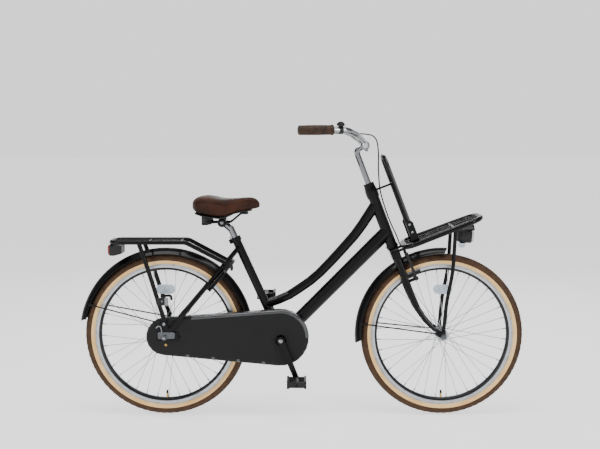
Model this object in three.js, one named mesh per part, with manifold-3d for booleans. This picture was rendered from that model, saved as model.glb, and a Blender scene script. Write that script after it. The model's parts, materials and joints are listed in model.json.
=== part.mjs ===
// A dutch city bike with 24 inch wheels, in millimetres.
// +X points forwards, +Y to the bike's left, +Z up. The ground is Z = 0, under the middle of the bike.

import * as THREE from "three";
import { mergeVertices } from "three/addons/utils/BufferGeometryUtils.js";
import Module from "manifold-3d";

const wasm = await Module();
wasm.setup();

const DEG = Math.PI / 180;
const TURN = 2 * Math.PI;

// Clearances
const gap = 0.3; // between pieces that touch
const overrun = 3; // how far a cutting tool passes a surface

// Layout of the whole bike
const wheelbase = 1023;
const rearAxleX = -504;
const bracketAhead = 426; // bottom bracket ahead of the rear axle
const bracketDrop = 11.5; // bottom bracket below the axles
const seatAngle = 65.5 * DEG;
const headAngle = 69 * DEG;
const forkRake = 56;

// Wheels
const wheel = {
  radius: 300.5,
  tyreWidth: 47,
  tyreHeight: 41.9,
  beadHalf: 13.5,
  rimDepth: 18.3,
  rimWidth: 29,
  rimEdge: 8.5, // height of the braking face
  rimFloor: 15, // width of the rim's inner face
  spokes: 36,
  spokeRadius: 1.1,
  segments: 40,
};
const frontHub = {
  shellRadius: 13,
  flangeRadius: 22,
  flangeY: 31,
  flangeThickness: 3,
  holeRadius: 18.5,
  endRadius: 10,
  halfLength: 40,
  axleRadius: 5,
  coneRadius: 8,
  overLocknuts: 100,
  lacing: 0,
};
const rearHub = {
  shellRadius: 24,
  flangeRadius: 33,
  flangeY: 27,
  flangeThickness: 3.4,
  holeRadius: 29,
  endRadius: 20,
  rightEnd: 33,
  leftEnd: 42,
  axleRadius: 5,
  coneRadius: 9,
  overLocknuts: 136,
  lacing: -3.8 * DEG, // leaves room between two spokes for the ring lock's bow
};
const axleNut = { radius: 9, height: 10, stub: 4, washer: 11, washerThickness: 2 };

// Drive
const chainPitch = 12.7;
const ringTeeth = 38;
const sprocketTeeth = 19;
const drive = {
  chainline: 47,
  toothThickness: 3,
  rollerRadius: 3.9,
  plateThickness: 1.5,
  plateGap: 3.8,
  plateHalfHeight: 4,
};
const driver = { radius: 17, inner: rearHub.rightEnd + gap, outer: 52 };
const crank = {
  length: 152,
  angle: -67.5 * DEG,
  bossRadius: 15,
  eyeRadius: 11,
  thickness: 14,
  outerFace: 86,
  spindleRadius: 8,
  spindleHalf: 83,
  leftFoot: 56,
  armHalfAtBoss: 12,
  armHalfAtEye: 9.5,
  edge: 2,
};
const pedal = {
  width: 92,
  length: 70,
  height: 20,
  endHeight: 27,
  bar: 8,
  barrelRadius: 10,
  axleRadius: 5,
  clearance: 4,
};

// Frame tubes
const seatTube = { radius: 15.9, length: 410, bore: 13, boreDepth: 180 };
const bracketShell = { radius: 20, half: 34, bore: 15, cupDepth: 12 };
const headTube = { radius: 20, bottom: 369.6, length: 206, bore: 16, cupRadius: 23, cupHeight: 9 };
const downTube = { radius: 24.5, headJoin: 60, flare: 26 };
const topTube = { radius: 17, headRadius: 20, headJoin: 172, seatJoin: 136 };
const dropout = {
  thickness: 6,
  back: 24,
  ahead: 50,
  below: 13,
  above: 17,
  eyeRise: 51,
  eyeRadius: 9,
  tongue: 62,
  tongueHalf: 8,
};
const chainStay = { radius: 8.3, bend: 90, tuck: -2, bridgeShare: 0.94, bridgeRadius: 6.5 };
const seatStay = {
  radius: 8.3,
  flatDepth: 18,
  flatWidth: 5,
  join: 371,
  bridgeRadius: 6.3,
  bridgeClearance: 4.7,
};
const rackBolt = {
  radius: 3,
  head: 5.5,
  headHeight: 4,
  tab: 5,
  tabWidth: 18,
  tabRise: 15,
  wireEye: 3,
  eyeRadius: 7,
};
const coasterArm = {
  inner: 42.3,
  thickness: 4,
  plateRadius: 22,
  width: 18,
  clipX: -404,
  clipY: 52,
  clipDrop: 19.5,
  clipHalf: 12,
  clipLength: 10,
};
const seatClamp = { radius: 20, height: 17, ear: 9, earGap: 3, earThickness: 5, boltRadius: 3 };

// Chain case
const chainCase = {
  rearRadius: 69,
  frontRadius: 104.5,
  frontRise: 7.5, // centre of the front round above the bottom bracket
  frontBack: 1.5,
  inner: 36.3,
  outer: 67,
  fillet: 9,
  wall: 2,
  hubHole: 31,
  spindleHole: 12,
  crankHole: 20,
  slotHalf: 14,
  window: { back: 26, ahead: 76, height: 30, rise: 2.5 },
};

// Saddle and seat post
const post = {
  radius: 12.4,
  insert: 120,
  rise: 42,
  headRise: 18,
  setBack: 28,
  headLength: 30,
  headHalf: 29,
  headHeight: 18,
  barrelRadius: 13,
};
const saddle = {
  length: 248,
  width: 196,
  height: 81,
  back: -403,
  skirtZ: 738,
  baseThickness: 4,
  baseShare: 0.8,
  railRadius: 3.5,
  railY: 22,
  railBend: 12,
  noseJoin: 45,
  noseRailZ: 753,
  lugRise: 8,
  springAhead: 48,
  springY: 45,
  springDrop: 4,
  springRadius: 12,
  springShare: 0.3,
};

// Head, bar and stem, on the steering axis
const steerer = { radius: 12.7, boreBottom: 470, top: 603 };
const headsetCover = { radius: 23.5, waist: 20, height: 46 };
const stem = {
  radius: 11.1,
  bottom: 480,
  bend: 752,
  clampX: 37,
  clampZ: 757,
  clampRadius: 17.5,
  clampHalf: 19,
  lug: 12,
};
const bar = { radius: 11.1, bend: 46, straight: 30, halfSpan: 292, sweep: 241, rise: 56 };
const grip = { length: 124, radius: 15.5, flangeRadius: 18.5, flange: 7, wall: 2.5 };
const bell = {
  inboard: 28,
  clampRadius: 14.5,
  clampHalf: 6,
  discRadius: 11,
  discZ: 13,
  disc: 2,
  postRadius: 2,
  radius: 15,
  height: 15,
  wall: 1.6,
  pinX: 21,
  pinRadius: 1.5,
  leverLength: 16,
  leverRadius: 3,
};
const brakeLever = {
  inboard: 28,
  droop: 12 * DEG,
  clampRadius: 14.5,
  clampHalf: 9,
  bodyHalf: 8,
  cheek: 3,
  cheekGap: 10,
  pivotX: 24,
  pivotRadius: 2.5,
  hubRadius: 6,
  exitX: 17.3,
  exitRadius: 4,
  barrel: 22,
  bladeRadius: 4,
  bladeOut: 16,
  length: 92,
  ball: 6,
};
const cable = { radius: 2.5, steps: 44, lead: 28 };

// Fork and brake
const fork = {
  crownTop: 366,
  crownBottom: 327,
  crownDepth: 34,
  crownHalf: 50,
  shoulder: 14,
  bladeY: 41,
  bladeDepth: 28,
  bladeWidth: 18,
  bladeSink: 8,
  tipPlate: 6,
  tipRadius: 12,
  eyeBack: 17,
  eyeRise: 17,
  eyeRadius: 7,
  bossRadius: 6,
};
const brake = {
  pivotZ: 235,
  pivotY: 41.5,
  armX: 39,
  armThickness: 10,
  armWidth: 9,
  armInner: 37,
  armLength: 102,
  studRadius: 4,
  cap: 3,
  footRadius: 8,
  postRadius: 4,
  padLength: 52,
  padHeight: 7,
  padDrop: 1.7, // upper corners below the rim's edge, clear of the tyre
  padDepth: 10,
  padClearance: 1.8,
};

// Carriers
const frontCarrier = {
  deckZ: 362,
  back: 44,
  front: 337,
  halfBack: 110,
  halfFront: 84,
  corner: 60,
  tube: 8,
  rodRadius: 5,
  rodY: 46,
  lugY: 46,
  lugHalf: 4,
  uprightX: 85,
  uprightTop: 697,
  uprightY: 60,
  hoopCorner: 45,
  barRadius: 5.5,
  braceZ: 590,
  braceY: 14,
  braceRadius: 3,
  plateThickness: 4,
  plateWidth: 26,
  plateHeight: 60,
  legX: 232,
  legY: 62.5,
  legTube: 5.5,
  legTab: 3,
  legTabWidth: 18,
};
const rearCarrier = {
  deckZ: 648,
  back: -700,
  bendX: -425,
  halfWidth: 60,
  corner: 40,
  tube: 5.5,
  rodRadius: 3.5,
  rodY: 22,
  legTopX: -596,
  legTube: 5.5,
  frontJoin: 352,
};

// Mudguards
const guard = { radius: 320, halfWidth: 30, depth: 15, thickness: 2, wire: 2.2 };
const rearGuard = { from: 7 * DEG, to: 171 * DEG, wireAngle: 158 * DEG };
const frontGuard = { from: 87 * DEG, to: 186 * DEG, wireAngle: 172 * DEG };

// Lamps, lock and stand
const headlight = {
  radius: 33,
  length: 52,
  lensDepth: 9,
  bulge: 6,
  hood: 20,
  hoodThickness: 3,
  wall: 2.5,
  backShare: 0.75,
  aheadOfBar: 6.8,
  belowBar: 22.2,
};
const tailLight = {
  width: 78,
  height: 42,
  bodyDepth: 30,
  lensDepth: 21,
  drop: 4.2,
  bracket: 16,
  taper: 8,
  corner: 9,
};
const lock = {
  reach: 286, // centre of the ring from the rear axle
  inner: 50,
  outer: 68,
  thickness: 14,
  openHalf: 35 * DEG,
  housingHalf: 36,
  housingTop: 372,
  corner: 9,
  shackleRadius: 4,
  from: 125 * DEG,
  to: 233 * DEG,
  travel: 80 * DEG,
  play: 3 * DEG,
  knobAngle: 147 * DEG,
  knobStem: 3,
  knobRadius: 5,
  knobHeight: 9,
};
const stand = {
  legRadius: 7,
  length: 262,
  lean: 20 * DEG,
  pivotBack: 50,
  pivotDrop: 36,
  legY: 46,
  footLength: 26,
  footRadius: 9,
  bossHalf: 7,
  bossRadius: 10,
  pinRadius: 4,
  lugThickness: 8,
  lugWidth: 22,
};

// Derived places
const axleZ = wheel.radius;
const frontAxleX = rearAxleX + wheelbase;
const bracketX = rearAxleX + bracketAhead;
const bracketZ = axleZ - bracketDrop;
const rimOuter = wheel.radius - wheel.tyreHeight;
const rimInner = rimOuter - wheel.rimDepth;
const spokeReach = rimInner * Math.cos(Math.PI / wheel.segments) - gap;
const dropoutInner = rearHub.overLocknuts / 2;
const dropoutOuter = dropoutInner + dropout.thickness;
const ringRadius = chainPitch / (2 * Math.sin(Math.PI / ringTeeth));
const sprocketRadius = chainPitch / (2 * Math.sin(Math.PI / sprocketTeeth));

const v3 = (x, y, z) => new THREE.Vector3(x, y, z);
const v2 = (x, y) => new THREE.Vector2(x, y);
const rearAxle = v3(rearAxleX, 0, axleZ);
const frontAxle = v3(frontAxleX, 0, axleZ);
const bracket = v3(bracketX, 0, bracketZ);
const seatDirection = v3(-Math.cos(seatAngle), 0, Math.sin(seatAngle));
const seatPoint = (along) => bracket.clone().addScaledVector(seatDirection, along);

// The steering frame: +Z runs up the steering axis, +X forwards across it.
// The front axle lies forkRake ahead of the axis at height 0.
const steeringLean = headAngle - 90 * DEG;
const steeringOrigin = v3(-forkRake * Math.sin(headAngle), 0, -forkRake * Math.cos(headAngle)).add(frontAxle);
const steeringMatrix = new THREE.Matrix4()
  .makeRotationY(steeringLean)
  .setPosition(steeringOrigin);
const fromSteering = (x, y, z) => v3(x, y, z).applyMatrix4(steeringMatrix);

// Finishes
const finish = (color, roughness, metalness) =>
  new THREE.MeshStandardMaterial({ color, roughness, metalness });
const blackPaint = finish(0x15161a, 0.32, 0.2);
const blackPlastic = finish(0x1b1b1d, 0.55, 0);
const casePlastic = finish(0x222326, 0.5, 0);
const blackRubber = finish(0x161616, 0.85, 0);
const tyreRubber = finish(0x6a5442, 0.9, 0);
const chrome = finish(0xd8dadc, 0.12, 1);
const steel = finish(0x9a9da1, 0.35, 1);
const zinc = finish(0xb4b6b8, 0.45, 1);
const rimAlloy = finish(0x8d9093, 0.35, 1);
const brownLeather = finish(0x5a3623, 0.6, 0);
const clearLens = finish(0xdde2e6, 0.1, 0);
const redLens = finish(0x9c1616, 0.2, 0);
const greyLens = finish(0xaab6c2, 0.25, 0);

// Makes a closed solid of a geometry, turned the right way out.
function solid(geometry) {
  const bare = geometry.index ? geometry.toNonIndexed() : geometry.clone();
  for (const name of Object.keys(bare.attributes)) if (name !== "position") bare.deleteAttribute(name);
  const merged = mergeVertices(bare, 1e-3);
  const make = (order) => {
    const triVerts = new Uint32Array(merged.index.array);
    if (order < 0)
      for (let i = 0; i < triVerts.length; i += 3)
        [triVerts[i + 1], triVerts[i + 2]] = [triVerts[i + 2], triVerts[i + 1]];
    const vertProperties = new Float32Array(merged.attributes.position.array);
    return new wasm.Manifold(new wasm.Mesh({ numProp: 3, vertProperties, triVerts }));
  };
  const made = make(1);
  return made.volume() < 0 ? make(-1) : made;
}

const join = (...pieces) => pieces.flat().reduce((a, b) => a.add(b));
const cut = (piece, ...tools) => tools.flat().reduce((a, b) => a.subtract(b), piece);
const moved = (made, matrix) => made.transform(matrix.elements);

// Radius of a bore whose flats stay clear of a round bar
const clear = (radius, sides) => (radius + gap) / Math.cos(Math.PI / sides);
const hole = (from, to, radius, sides = 12) => rod(from, to, clear(radius, sides), sides);

// A BufferGeometry of a solid.
function geometryOf(made) {
  const mesh = made.getMesh();
  const positions = new Float32Array(mesh.numVert * 3);
  for (let i = 0; i < mesh.numVert; i++)
    positions.set(mesh.vertProperties.subarray(i * mesh.numProp, i * mesh.numProp + 3), i * 3);
  const geometry = new THREE.BufferGeometry();
  geometry.setAttribute("position", new THREE.BufferAttribute(positions, 3));
  geometry.setIndex(new THREE.BufferAttribute(new Uint32Array(mesh.triVerts), 1));
  geometry.computeVertexNormals();
  return geometry;
}

// Adds a named mesh to a group.
function part(group, name, made, material) {
  const mesh = new THREE.Mesh(geometryOf(made), material);
  mesh.name = name;
  group.add(mesh);
  return mesh;
}

// A round bar between two points, tapered when it has an end radius.
function rod(from, to, radius, sides = 12, endRadius = radius) {
  const length = from.distanceTo(to);
  const shape = new THREE.CylinderGeometry(endRadius, radius, length, sides);
  const turn = new THREE.Quaternion().setFromUnitVectors(v3(0, 1, 0), to.clone().sub(from).normalize());
  shape.applyQuaternion(turn);
  const middle = from.clone().add(to).multiplyScalar(0.5);
  return solid(shape.translate(middle.x, middle.y, middle.z));
}

// A box by its centre and size, turned about Y.
function block(centre, size, turnY = 0) {
  const shape = new THREE.BoxGeometry(size.x, size.y, size.z);
  return solid(shape.rotateY(turnY).translate(centre.x, centre.y, centre.z));
}

// A body turned about the Y axis, from a profile of [radius, y] that closes on itself.
function turned(profile, segments, centre = v3(0, 0, 0)) {
  const points = [...profile, profile[0]].map(([radius, y]) => v2(radius, y));
  return solid(new THREE.LatheGeometry(points, segments).translate(centre.x, centre.y, centre.z));
}

// A body turned about the Z axis, from a profile of [radius, z] that closes on itself.
function turnedUp(profile, segments) {
  const points = [...profile, profile[0]].map(([radius, z]) => v2(radius, z));
  return solid(new THREE.LatheGeometry(points, segments).rotateX(90 * DEG));
}

// A plate across Y: a shape drawn in X and Z, from yFrom to a lower yTo.
function plate(shape, yFrom, yTo, curveSegments = 8) {
  const depth = yFrom - yTo;
  const made = new THREE.ExtrudeGeometry(shape, { depth, bevelEnabled: false, curveSegments });
  return solid(made.rotateX(90 * DEG).translate(0, yFrom, 0));
}

// A path of straight runs with rounded bends, whose rings lie only where it turns.
class BentPath extends THREE.Curve {
  constructor(points, bend, arcSteps) {
    super();
    this.rings = [points[0].clone()];
    for (let i = 1; i + 1 < points.length; i++) {
      const before = points[i - 1].clone().sub(points[i]);
      const after = points[i + 1].clone().sub(points[i]);
      const half = before.angleTo(after) / 2;
      const room = Math.min(before.length(), after.length()) / 2.05;
      const reach = Math.min(bend / Math.tan(half), room);
      const start = points[i].clone().addScaledVector(before.normalize(), reach);
      const end = points[i].clone().addScaledVector(after.normalize(), reach);
      const arc = new THREE.QuadraticBezierCurve3(start, points[i], end);
      this.rings.push(...arc.getPoints(arcSteps));
    }
    this.rings.push(points[points.length - 1].clone());
    this.count = this.rings.length - 1;
  }
  getPointAt(u) {
    const place = Math.min(u * this.count, this.count - 1e-9);
    const i = Math.floor(place);
    return this.rings[i].clone().lerp(this.rings[i + 1], place - i);
  }
  getPoint(t) {
    return this.getPointAt(t);
  }
  getTangentAt(u) {
    const i = Math.round(u * this.count);
    const before = i > 0 ? this.rings[i].clone().sub(this.rings[i - 1]).normalize() : v3(0, 0, 0);
    const after =
      i < this.count ? this.rings[i + 1].clone().sub(this.rings[i]).normalize() : v3(0, 0, 0);
    return before.add(after).normalize();
  }
}

// A round tube along bent straight runs.
function pipe(points, radius, { bend = 4 * radius, sides = 10, arcSteps = 3 } = {}) {
  const path = new BentPath(points, bend, arcSteps);
  const circle = new THREE.Shape().absarc(0, 0, radius, 0, TURN);
  const options = { steps: path.count, extrudePath: path, bevelEnabled: false, curveSegments: sides / 2 };
  return solid(new THREE.ExtrudeGeometry(circle, options));
}

// A body through rings of points, with the same number of points in each, closed at both ends.
function loft(rings) {
  const positions = [];
  const count = rings[0].length;
  const push = (...points) => points.forEach((p) => positions.push(p.x, p.y, p.z));
  for (let i = 0; i + 1 < rings.length; i++)
    for (let j = 0; j < count; j++) {
      const k = (j + 1) % count;
      push(rings[i][j], rings[i + 1][j], rings[i + 1][k]);
      push(rings[i][j], rings[i + 1][k], rings[i][k]);
    }
  const close = (ring, order) => {
    const flat = capTriangles(ring);
    for (const [a, b, c] of flat) {
      if (order > 0) push(ring[a], ring[b], ring[c]);
      else push(ring[a], ring[c], ring[b]);
    }
  };
  close(rings[0], 1);
  close(rings[rings.length - 1], -1);
  const geometry = new THREE.BufferGeometry();
  geometry.setAttribute("position", new THREE.Float32BufferAttribute(positions, 3));
  return solid(geometry);
}

// Triangles that fill a flat ring of points.
function capTriangles(ring) {
  const normal = v3(0, 0, 0);
  ring.forEach((p, i) => normal.add(p.clone().cross(ring[(i + 1) % ring.length])));
  const turn = new THREE.Quaternion().setFromUnitVectors(normal.normalize(), v3(0, 0, 1));
  const flat = ring.map((p) => {
    const q = p.clone().sub(ring[0]).applyQuaternion(turn);
    return v2(q.x, q.y);
  });
  return THREE.ShapeUtils.triangulateShape(flat, []);
}

// An ellipse of points round a centre, across a direction that lies in the XZ plane.
function ovalRing(centre, direction, depth, width, count) {
  const across = v3(direction.z, 0, -direction.x).normalize();
  return Array.from({ length: count }, (_, i) => {
    const a = (TURN * i) / count;
    return centre
      .clone()
      .addScaledVector(across, (depth / 2) * Math.cos(a))
      .add(v3(0, (width / 2) * Math.sin(a), 0));
  });
}

// Copies a list of points to the other side of the bike.
const mirrored = (points) => points.map((p) => v3(p.x, -p.y, p.z));

// A group placed on the steering axis.
function steeringGroup() {
  const group = new THREE.Group();
  group.position.copy(steeringOrigin);
  group.rotation.y = steeringLean;
  return group;
}

// Tyre: a round section that narrows to its beads in the rim
function tyreSolid() {
  const half = wheel.tyreWidth / 2;
  const middle = wheel.radius - wheel.tyreHeight / 2;
  const wallAngle = 120 * DEG;
  const steps = 6;
  const profile = [];
  for (let i = 0; i <= steps; i++) {
    const a = -wallAngle + (2 * wallAngle * i) / steps;
    profile.push([middle + (wheel.tyreHeight / 2) * Math.cos(a), half * Math.sin(a)]);
  }
  profile.push([rimOuter + gap, wheel.beadHalf], [rimOuter + gap, -wheel.beadHalf]);
  return turned(profile, wheel.segments);
}

// Rim: braking faces over a box that narrows to the spokes
function rimSolid() {
  const half = wheel.rimWidth / 2;
  const floor = wheel.rimFloor / 2;
  const edge = rimOuter - wheel.rimEdge;
  return turned(
    [
      [rimOuter, half],
      [edge, half],
      [rimInner, floor],
      [rimInner, -floor],
      [edge, -half],
      [rimOuter, -half],
    ],
    wheel.segments,
  );
}

// Spokes: laced three times crossed, one behind and one before each flange in turn
function spokeSolids(hub) {
  const crossing = 60 * DEG;
  const made = [];
  for (let k = 0; k < wheel.spokes; k++) {
    const rimAngle = hub.lacing + ((k + 0.5) * TURN) / wheel.spokes;
    const side = k % 2 ? 1 : -1;
    const leading = Math.floor(k / 2) % 2 ? 1 : -1;
    const hubAngle = rimAngle + leading * crossing;
    const flangeY = side * (hub.flangeY + leading * (hub.flangeThickness / 2));
    const place = (radius, angle, y) => v3(radius * Math.cos(angle), y, radius * Math.sin(angle));
    const from = place(hub.holeRadius, hubAngle, flangeY);
    const to = place(spokeReach, rimAngle, side * wheel.spokeRadius);
    made.push(rod(from, to, wheel.spokeRadius, 3));
  }
  return made;
}

function frontHubSolid() {
  const { shellRadius, flangeRadius, flangeY, flangeThickness, endRadius, halfLength } = frontHub;
  const bore = clear(frontHub.axleRadius, 16);
  const outside = flangeY + flangeThickness / 2;
  const inside = flangeY - flangeThickness / 2;
  const shell = turned(
    [
      [bore, -halfLength],
      [endRadius, -halfLength],
      [endRadius, -outside],
      [flangeRadius, -outside],
      [flangeRadius, -inside],
      [shellRadius, -inside],
      [shellRadius, inside],
      [flangeRadius, inside],
      [flangeRadius, outside],
      [endRadius, outside],
      [endRadius, halfLength],
      [bore, halfLength],
    ],
    16,
  );
  return join(shell, spokeSolids(frontHub));
}

// Rear hub: the wide shell of a hub with a back-pedal brake inside
function rearHubSolid() {
  const { shellRadius, flangeRadius, flangeY, flangeThickness, endRadius, rightEnd, leftEnd } = rearHub;
  const bore = clear(rearHub.axleRadius, 18);
  const outside = flangeY + flangeThickness / 2;
  const inside = flangeY - flangeThickness / 2;
  const shell = turned(
    [
      [bore, -rightEnd],
      [endRadius, -rightEnd],
      [endRadius, -outside],
      [flangeRadius, -outside],
      [flangeRadius, -inside],
      [shellRadius, -inside],
      [shellRadius, inside],
      [flangeRadius, inside],
      [flangeRadius, outside],
      [shellRadius, outside],
      [shellRadius, leftEnd],
      [bore, leftEnd],
    ],
    18,
  );
  return join(shell, spokeSolids(rearHub));
}

// Spoke reflector: a flat oval clipped outside the right-hand spokes
function reflectorSolid(hub) {
  const size = { length: 70, height: 34, thickness: 6, reach: 170 };
  const low = size.reach - size.height / 2;
  const run = (low - hub.holeRadius) / (rimInner - hub.holeRadius);
  const spokeY = (hub.flangeY + hub.flangeThickness / 2) * (1 - run) + wheel.spokeRadius;
  const inner = -(spokeY + wheel.spokeRadius + gap);
  const flat = size.length - size.height;
  const shape = new THREE.Shape();
  shape.absarc(flat / 2, size.reach, size.height / 2, -90 * DEG, 90 * DEG);
  shape.absarc(-flat / 2, size.reach, size.height / 2, 90 * DEG, 270 * DEG);
  return plate(shape, inner, inner - size.thickness, 6);
}

function addWheel(parent, name, hubSolid, hub, x) {
  const group = new THREE.Group();
  group.position.set(x, 0, axleZ);
  part(group, name + "_tyre", tyreSolid(), tyreRubber);
  part(group, name + "_rim", rimSolid(), rimAlloy);
  part(group, name + "_hub", hubSolid, steel);
  part(group, name + "_reflector", reflectorSolid(hub), greyLens);
  parent.add(group);
}

// An axle with its cones inside the dropouts and its nuts outside, turned about Y
function axleSolid(hub, inner, outer, rightEnd, leftEnd) {
  const r = hub.axleRadius;
  const cone = hub.coneRadius;
  const seat = inner - gap;
  const out = outer + gap;
  const washer = out + axleNut.washerThickness;
  const nutEnd = washer + axleNut.height;
  const half = nutEnd + axleNut.stub;
  const side = (sign, hubEnd) => {
    const steps = [
      [r, hubEnd + gap],
      [cone, hubEnd + gap],
      [cone, seat],
      [r, seat],
      [r, out],
      [axleNut.washer, out],
      [axleNut.washer, washer],
      [axleNut.radius, washer],
      [axleNut.radius, nutEnd],
      [r, nutEnd],
      [r, half],
      [0, half],
    ];
    return steps.map(([radius, y]) => v2(radius, sign * y));
  };
  const points = [...side(-1, rightEnd).reverse(), ...side(1, leftEnd)];
  return solid(new THREE.LatheGeometry(points, 10));
}

// Sprocket outline: each tooth stands between two rollers, the first roller at the given angle
function toothedShape(teeth, pitchRadius, phase) {
  const valley = pitchRadius - drive.rollerRadius - gap;
  const tip = pitchRadius + drive.rollerRadius * 0.9;
  const half = Math.PI / teeth;
  const rootHalf = half * 0.42;
  const shape = new THREE.Shape();
  for (let k = 0; k < teeth; k++) {
    const middle = phase + (2 * k + 1) * half;
    const corners = [
      [valley, -rootHalf],
      [tip, 0],
      [valley, rootHalf],
    ];
    corners.forEach(([radius, turn], i) => {
      const x = radius * Math.cos(middle + turn);
      const y = radius * Math.sin(middle + turn);
      if (k === 0 && i === 0) shape.moveTo(x, y);
      else shape.lineTo(x, y);
    });
  }
  shape.closePath();
  return shape;
}

// Where the chain leaves the ring and the sprocket, as angles from the front
const chainY = -drive.chainline;
const driveLine = v2(rearAxleX - bracketX, axleZ - bracketZ);
const driveSpread = Math.asin((ringRadius - sprocketRadius) / driveLine.length());
const topTangent = driveLine.angle() - 90 * DEG + driveSpread;

// The chain's roller centres in X and Z: round the ring, and round the sprocket, both from the top
function chainWraps() {
  const arc = (x, z, radius, teeth, wrap, way) => {
    const count = Math.round((wrap / TURN) * teeth) + 1;
    return Array.from({ length: count }, (_, k) => {
      const a = topTangent + (way * k * TURN) / teeth;
      return v2(x + radius * Math.cos(a), z + radius * Math.sin(a));
    });
  };
  const front = arc(bracketX, bracketZ, ringRadius, ringTeeth, 180 * DEG + 2 * driveSpread, -1);
  const rear = arc(rearAxleX, axleZ, sprocketRadius, sprocketTeeth, 180 * DEG - 2 * driveSpread, 1);
  return [front, rear];
}

// Chain: two rows of side plates, joined by a roller between every two teeth that it wraps
function chainSolid() {
  const [front, rear] = chainWraps();
  const loop = [...front, ...rear.slice().reverse()];
  const edge = (offset) =>
    loop.map((p, i) => {
      const before = loop[(i + loop.length - 1) % loop.length];
      const after = loop[(i + 1) % loop.length];
      const along = after.clone().sub(before).normalize();
      return p.clone().add(v2(-along.y, along.x).multiplyScalar(offset));
    });
  const outline = (offset) => new THREE.Shape(edge(offset));
  const half = drive.plateGap / 2 + drive.plateThickness;
  const band = cut(
    plate(outline(drive.plateHalfHeight), chainY + half, chainY - half),
    plate(outline(-drive.plateHalfHeight), chainY + half + overrun, chainY - half - overrun),
    plate(outline(2 * drive.plateHalfHeight), chainY + drive.plateGap / 2, chainY - drive.plateGap / 2),
  );
  const reach = drive.plateGap / 2 + drive.plateThickness / 2;
  const pins = loop.map((p) =>
    rod(v3(p.x, chainY - reach, p.y), v3(p.x, chainY + reach, p.y), drive.rollerRadius, 3),
  );
  return join(band, wasm.Manifold.union(pins));
}

const toothFrom = chainY + drive.toothThickness / 2;
const toothTo = chainY - drive.toothThickness / 2;

// Sprocket on the hub's driver
function sprocketSolid() {
  const teeth = plate(toothedShape(sprocketTeeth, sprocketRadius, topTangent), toothFrom, toothTo, 1);
  const body = rod(v3(0, -driver.inner, 0), v3(0, -driver.outer, 0), driver.radius, 14);
  const bore = hole(v3(0, overrun, 0), v3(0, -driver.outer - overrun, 0), rearHub.axleRadius);
  return cut(join(teeth, body), bore);
}

const crankEnd = v3(crank.length * Math.cos(crank.angle), 0, crank.length * Math.sin(crank.angle));

// A crank arm with the pedal's axle in its eye, for the side that the sign gives
function crankArmSolid(side) {
  const direction = crankEnd.clone().normalize().multiplyScalar(-side);
  const across = v3(-direction.z, 0, direction.x);
  const end = crankEnd.clone().multiplyScalar(-side);
  const inward = crank.outerFace - crank.thickness;
  const y = (along) => side * along;
  const corner = (centre, width) => {
    const p = centre.clone().addScaledVector(across, width);
    return v2(p.x, p.z);
  };
  const shape = new THREE.Shape([
    corner(v3(0, 0, 0), crank.armHalfAtBoss),
    corner(end, crank.armHalfAtEye),
    corner(end, -crank.armHalfAtEye),
    corner(v3(0, 0, 0), -crank.armHalfAtBoss),
  ]);
  const arm = plate(shape, Math.max(y(inward), y(crank.outerFace)), Math.min(y(inward), y(crank.outerFace)));
  const bossFoot = side < 0 ? drive.chainline - drive.toothThickness / 2 : crank.leftFoot;
  const boss = rod(v3(0, y(bossFoot), 0), v3(0, y(crank.outerFace + crank.edge), 0), crank.bossRadius, 16);
  const at = (along) => end.clone().setY(y(along));
  const eye = rod(at(inward), at(crank.outerFace), crank.eyeRadius, 14);
  const axle = rod(at(inward), at(crank.outerFace + pedal.clearance + pedal.width), pedal.axleRadius, 10);
  const socket = hole(v3(0, 0, 0), v3(0, y(crank.spindleHalf + gap), 0), crank.spindleRadius);
  return cut(join(arm, boss, eye, axle), socket);
}

// Right-hand crank with its chainring swaged on
function rightCrankSolid() {
  const ring = plate(toothedShape(ringTeeth, ringRadius, topTangent), toothFrom, toothTo, 1);
  const socket = hole(v3(0, toothFrom + overrun, 0), v3(0, toothTo - overrun, 0), crank.spindleRadius);
  return join(cut(ring, socket), crankArmSolid(-1));
}

function crankSpindleSolid() {
  return rod(v3(0, -crank.spindleHalf, 0), v3(0, crank.spindleHalf, 0), crank.spindleRadius, 12);
}

// Pedal: a frame of two end bars and two plates round its barrel
function pedalSolid(side) {
  const inner = crank.outerFace + pedal.clearance;
  const outer = inner + pedal.width;
  const y = (along) => side * along;
  const barX = (pedal.length - pedal.bar) / 2;
  const bars = [-1, 1].map((end) =>
    block(v3(end * barX, y((inner + outer) / 2), 0), v3(pedal.bar, pedal.width, pedal.endHeight)),
  );
  const plates = [inner + pedal.bar / 2, outer - pedal.bar / 2].map((along) =>
    block(v3(0, y(along), 0), v3(pedal.length - pedal.bar, pedal.bar, pedal.height)),
  );
  const barrel = rod(v3(0, y(inner), 0), v3(0, y(outer), 0), pedal.barrelRadius, 12);
  const bore = hole(v3(0, y(inner - overrun), 0), v3(0, y(outer + overrun), 0), pedal.axleRadius, 10);
  return cut(join(bars, plates, barrel), bore);
}

// Seat tube and bottom bracket shell, with the shell's two bearing cups
function seatTubeSolid() {
  const at = (y) => bracket.clone().setY(y);
  const { half, radius, bore, cupDepth } = bracketShell;
  const shell = rod(at(-half), at(half), radius, 20);
  const spindleBore = hole(at(-half - overrun), at(half + overrun), crank.spindleRadius);
  const inside = rod(at(cupDepth - half), at(half - cupDepth), bore, 12);
  const tube = rod(bracket, seatPoint(seatTube.length), seatTube.radius, 16);
  const socket = rod(
    seatPoint(seatTube.length - seatTube.boreDepth),
    seatPoint(seatTube.length + overrun),
    seatTube.bore,
    16,
  );
  return cut(join(tube, shell), spindleBore, inside, socket);
}

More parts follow.
